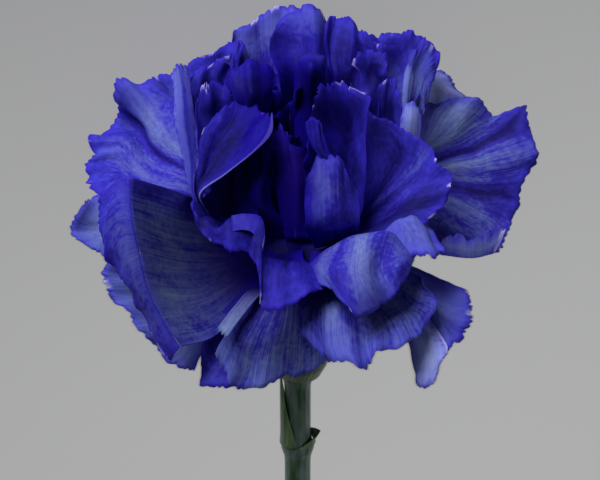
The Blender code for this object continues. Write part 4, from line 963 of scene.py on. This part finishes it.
# The rim stands at the mouth, plus tooth in the middle of each tooth and falling fast from
# it; the outer radius has a cosine of veinDepth for the veins, which grows from nothing at
# the foot. One ring more closes the foot and one the floor.
def calyxPiece():
    angles = anglesOf(calyx["sides"])
    tooth = np.abs((angles * calyx["teeth"] / math.pi) % 2 - 1)
    rim = calyx["mouth"] + calyx["tooth"] * (1 - (1 - tooth) ** 0.8)
    share = np.linspace(0, 1, 50)[:, None]
    outerHeight = share ** 0.9 * rim
    veins = calyx["veinDepth"] * np.cos(calyx["veins"] * angles) * smoothStep(share * 3)
    outerRadius = calyxRadius(outerHeight) + veins
    innerHeight = mix((rim, calyx["floor"]), np.linspace(0, 1, 8)[:, None])
    innerRadius = calyxRadius(innerHeight) - calyx["wall"]
    radius = np.concatenate([0.5 * outerRadius[:1], outerRadius, innerRadius, 0.4 * innerRadius[-1:]])
    height = np.concatenate([outerHeight[:1], outerHeight, innerHeight, innerHeight[-1:]])
    turnedPiece("calyxTube", radius, height, greenMaterial("calyxGreen"), "calyx")


calyxPiece()

# The pale claws of the petals, packed into a bundle that fills the mouth of the calyx
claws = dict(heights=(18.9, 21.5, 23.5, 25), radii=(5.9, 5.9, 5.5, 2.5), folds=34, foldDepth=0.28,
             sides=204, looks=dict(rimDistance=20.0, tone=0.2, heartDyeAndShade=0.0, ashen=0.5))


# A turned profile, drawn in by foldDepth in sharp furrows between the claws
def clawPiece():
    angles = anglesOf(claws["sides"])
    height = np.linspace(claws["heights"][0], claws["heights"][-1], 30)[:, None] + 0 * angles
    folds = claws["foldDepth"] * (np.abs(np.sin(claws["folds"] * angles / 2)) - 1)
    radius = np.interp(height, claws["heights"], claws["radii"]) + folds
    turnedPiece("claws", radius, height, petalSkin, "bloom", claws["looks"])


clawPiece()


# A thin leaf wrapped round the axis: its middle at the angle, half its width falling from
# halfWidth (degrees) by share^shape to almost nothing at the tip, its distance from the axis
# radiusAt(height) plus its gap, and flare more at the tip. It thins to its sides and tip.
def wrappedLeaf(leaf, radiusAt, rows=28, columns=24):
    share = np.linspace(0, 1, rows + 1)[:, None]
    across = np.linspace(-1, 1, columns + 1)[None, :]
    middle = math.radians(leaf["middle"])
    width = math.radians(leaf["halfWidth"]) * np.clip(1 - share ** leaf["shape"], 0.01, 1)
    angle = middle + width * across
    height = mix((leaf["foot"], leaf["tip"]), share) + 0 * across
    radius = radiusAt(height) + leaf["gap"] + leaf["flare"] * share ** 2.5 - 0.1 * across ** 2
    grid = np.stack([radius * np.cos(angle), radius * np.sin(angle), height], -1)
    thin = leaf["thickness"] * (1 - 0.6 * np.maximum(np.abs(across) ** 3, share ** 4))
    outward = np.stack([np.cos(angle), np.sin(angle), 0 * angle], -1) * thin[..., None]
    rays = np.stack([(angle - middle) * radius, height, 0 * radius + leaf["middle"]], -1)
    return grid, outward, rays


# Joins leaves into one piece, each a closed shell with its inner face first
def leafPiece(name, leaves, material, replaced):
    points, faces, rays = [], [], []
    used = 0
    for inner, outward, ray in leaves:
        for skin in (inner, inner + outward):
            points.append(skin.reshape(-1, 3))
            rays.append(ray.reshape(-1, 3))
        faces.append(shellFaces(*inner.shape[:2]) + used)
        used += 2 * inner.shape[0] * inner.shape[1]
    piece = meshPiece(name, layDown(np.concatenate(points)), np.concatenate(faces).tolist(), material,
                      dict(rays=np.concatenate(rays)))
    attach(piece, "root")
    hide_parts(replaced)
    print(name, "has", len(piece.data.polygons), "faces")


# The two pairs of pointed scales at the foot of the calyx: the angle of each and its gap to
# the calyx, the outer pair over the inner one
scales = dict(gaps={45: 0.15, 225: 0.15, 135: 0.55, 315: 0.55},
              every=dict(foot=0.3, tip=8.6, halfWidth=62, shape=2.2, flare=0.0, thickness=0.3))

leafPiece("calyxScales",
          [wrappedLeaf(dict(scales["every"], middle=angle, gap=gap), calyxRadius)
           for angle, gap in scales["gaps"].items()],
          greenMaterial("scaleGreen"), "calyx_scales")

# The stem, with a swollen joint, a widening under the calyx, fine ribs and a flat cut end.
# cutRing is the share of the radius at which the cut face has one ring more.
stem = dict(radius=2.15, joint=-15.2, jointRadius=2.75, jointLength=1.5, top=-0.3, topRadius=2.65,
            topLength=3.0, ribs=14, ribHeight=0.02, cutRing=0.85, rings=220, sides=96)


# Its radius is the plain one plus a bell curve at the joint and a smooth step at the top
def stemPiece():
    height = np.linspace(-lying["stemLength"], stem["top"], stem["rings"])
    height = np.concatenate([height[:1], height])
    swell = np.exp(-((height - stem["joint"]) / stem["jointLength"]) ** 2)
    top = smoothStep((height + stem["topLength"]) / stem["topLength"])
    radius = (stem["radius"] + swell * (stem["jointRadius"] - stem["radius"])
              + top * (stem["topRadius"] - stem["radius"]))
    radius[0] *= stem["cutRing"]
    ribs = stem["ribHeight"] * (np.cos(stem["ribs"] * anglesOf(stem["sides"])) - 1)
    grid = radius[:, None] + ribs
    turnedPiece("jointedStem", grid, np.broadcast_to(height[:, None], grid.shape),
                greenMaterial("stemGreen"), "stem")


stemPiece()

# The pair of scale leaves at the joint. They clasp the stem, and stand off it by swell more
# at the joint, below swellFrom.
stemLeaves = dict(radius=2.55, swell=0.15, swellFrom=-12, swellLength=3,
                  every=dict(foot=-14.2, halfWidth=88, gap=0.0, thickness=0.35),
                  leaves=[dict(middle=180, tip=-0.8, shape=1.1, flare=0.2),
                          dict(middle=0, tip=-12.2, shape=1.3, flare=1.2)])


# Inner radius of the stem's leaves at a height
def stemLeafRadius(height):
    joint = smoothStep((stemLeaves["swellFrom"] - height) / stemLeaves["swellLength"])
    return stemLeaves["radius"] + stemLeaves["swell"] * joint


leafPiece("stemScales",
          [wrappedLeaf(dict(stemLeaves["every"], **leaf), stemLeafRadius)
           for leaf in stemLeaves["leaves"]],
          greenMaterial("stemLeafGreen"), "stem_scales")

# The table: pale paper, which is flat and matt. halfSide and drop are in metres.
tableTop = dict(halfSide=1.5, drop=0.00005, colour="BCBCBB", roughness=0.9)


# A square about the origin, drop below the ground
def tablePiece():
    material, shader = newMaterial("paleTable")
    shader.inputs["Base Color"].default_value = linear(tableTop["colour"])
    shader.inputs["Roughness"].default_value = tableTop["roughness"]
    corners = np.array([[-1, -1, 0], [1, -1, 0], [1, 1, 0], [-1, 1, 0]]) * tableTop["halfSide"]
    corners[:, 2] = -tableTop["drop"]
    table = meshPiece("table", corners, [[0, 1, 2, 3]], material)
    table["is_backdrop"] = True
    print("table is", 2 * tableTop["halfSide"], "m wide")


tablePiece()


# The photograph's view is carried over to the table: layDown() takes the aim and the three
# axes of the view, and the lens shows pixelsPerMm at the camera's distance
def cameraPiece():
    aim = np.array(photo["aim"])
    axes = np.array([[1.0, 0.0, 0.0], [0.0, viewSine, viewCosine], [0.0, -viewCosine, viewSine]])
    target, right, up, back = layDown(np.vstack([aim, aim + axes]))
    right, up, back = [(way - target) / mm for way in (right, up, back)]
    camera = bpy.data.cameras.new("photoCamera")
    camera.sensor_width = photo["sensor"]
    camera.lens = photo["sensor"] * photo["distance"] / (photo["width"] / photo["pixelsPerMm"])
    camera.clip_start, camera.clip_end = photo["clip"]
    holder = bpy.data.objects.new("photoCamera", camera)
    bpy.context.scene.collection.objects.link(holder)
    holder.location = target + back * photo["distance"] * mm
    holder.rotation_euler = Matrix((right, up, back)).transposed().to_euler()
    bpy.context.scene.camera = holder
    print("camera has a lens of", round(camera.lens), "mm")


cameraPiece()

# Soft studio light, as in the photograph: a broad window beyond the bloom and to the left
# lights the flower, and the room is dim. A small lamp at the camera's own place lights the
# table, so that the flower hides its own shadow from the camera. It is turned down and a
# little to the right in the picture, where the backdrop of the photograph is lighter.
# Distances and sizes are in metres, powers in watts.
light = dict(window=dict(way=(-0.45, 0.86, 0.22), distance=0.8, size=0.6, power=12.0),
             fill=dict(way=(0.6, -0.25, 0.75), distance=0.7, size=0.4, power=0.9),
             lamp=dict(right=0.3, down=2.2, size=0.006, power=3.35), room="A8ACB4", roomStrength=0.18)


# A square light at a place that shines against the way given and lights only the pieces in lit
def areaLight(name, place, way, size, power, lit):
    lamp = bpy.data.lights.new(name, "AREA")
    lamp.shape = "SQUARE"
    lamp.size = size
    lamp.energy = power
    holder = bpy.data.objects.new(name, lamp)
    bpy.context.scene.collection.objects.link(holder)
    holder.location = place
    holder.rotation_euler = way.to_track_quat("Z", "Y").to_euler()
    receivers = bpy.data.collections.new(name + "Receivers")
    for piece in lit:
        receivers.objects.link(piece)
    holder.light_linking.receiver_collection = receivers


# The window and the fill stand off the middle of the bloom, the lamp is at the camera
def studioLight():
    bloomLow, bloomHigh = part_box("bloom")
    aim = (bloomLow + bloomHigh) / 2
    pieces = [o for o in bpy.data.objects if o.type == "MESH" and not o.hide_render]
    table = [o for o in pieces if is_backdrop(o)]
    flower = [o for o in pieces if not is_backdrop(o)]
    for name, own in (("windowLight", light["window"]), ("fillSheet", light["fill"])):
        way = Vector(own["way"]).normalized()
        areaLight(name, aim + way * own["distance"], way, own["size"], own["power"], flower)
    camera, lamp = bpy.context.scene.camera, light["lamp"]
    right, up, back = camera.rotation_euler.to_matrix().transposed()
    way = (back - right * lamp["right"] + up * lamp["down"]).normalized()
    areaLight("tableLamp", camera.location, way, lamp["size"], lamp["power"], table)
    world = bpy.data.worlds.new("room")
    world.use_nodes = True
    background = world.node_tree.nodes["Background"]
    background.inputs["Color"].default_value = linear(light["room"])
    background.inputs["Strength"].default_value = light["roomStrength"]
    bpy.context.scene.world = world
    bpy.context.scene.view_settings.view_transform = "Standard"
    print("light falls on", len(flower), "pieces of the flower and", len(table), "of the stage")


studioLight()
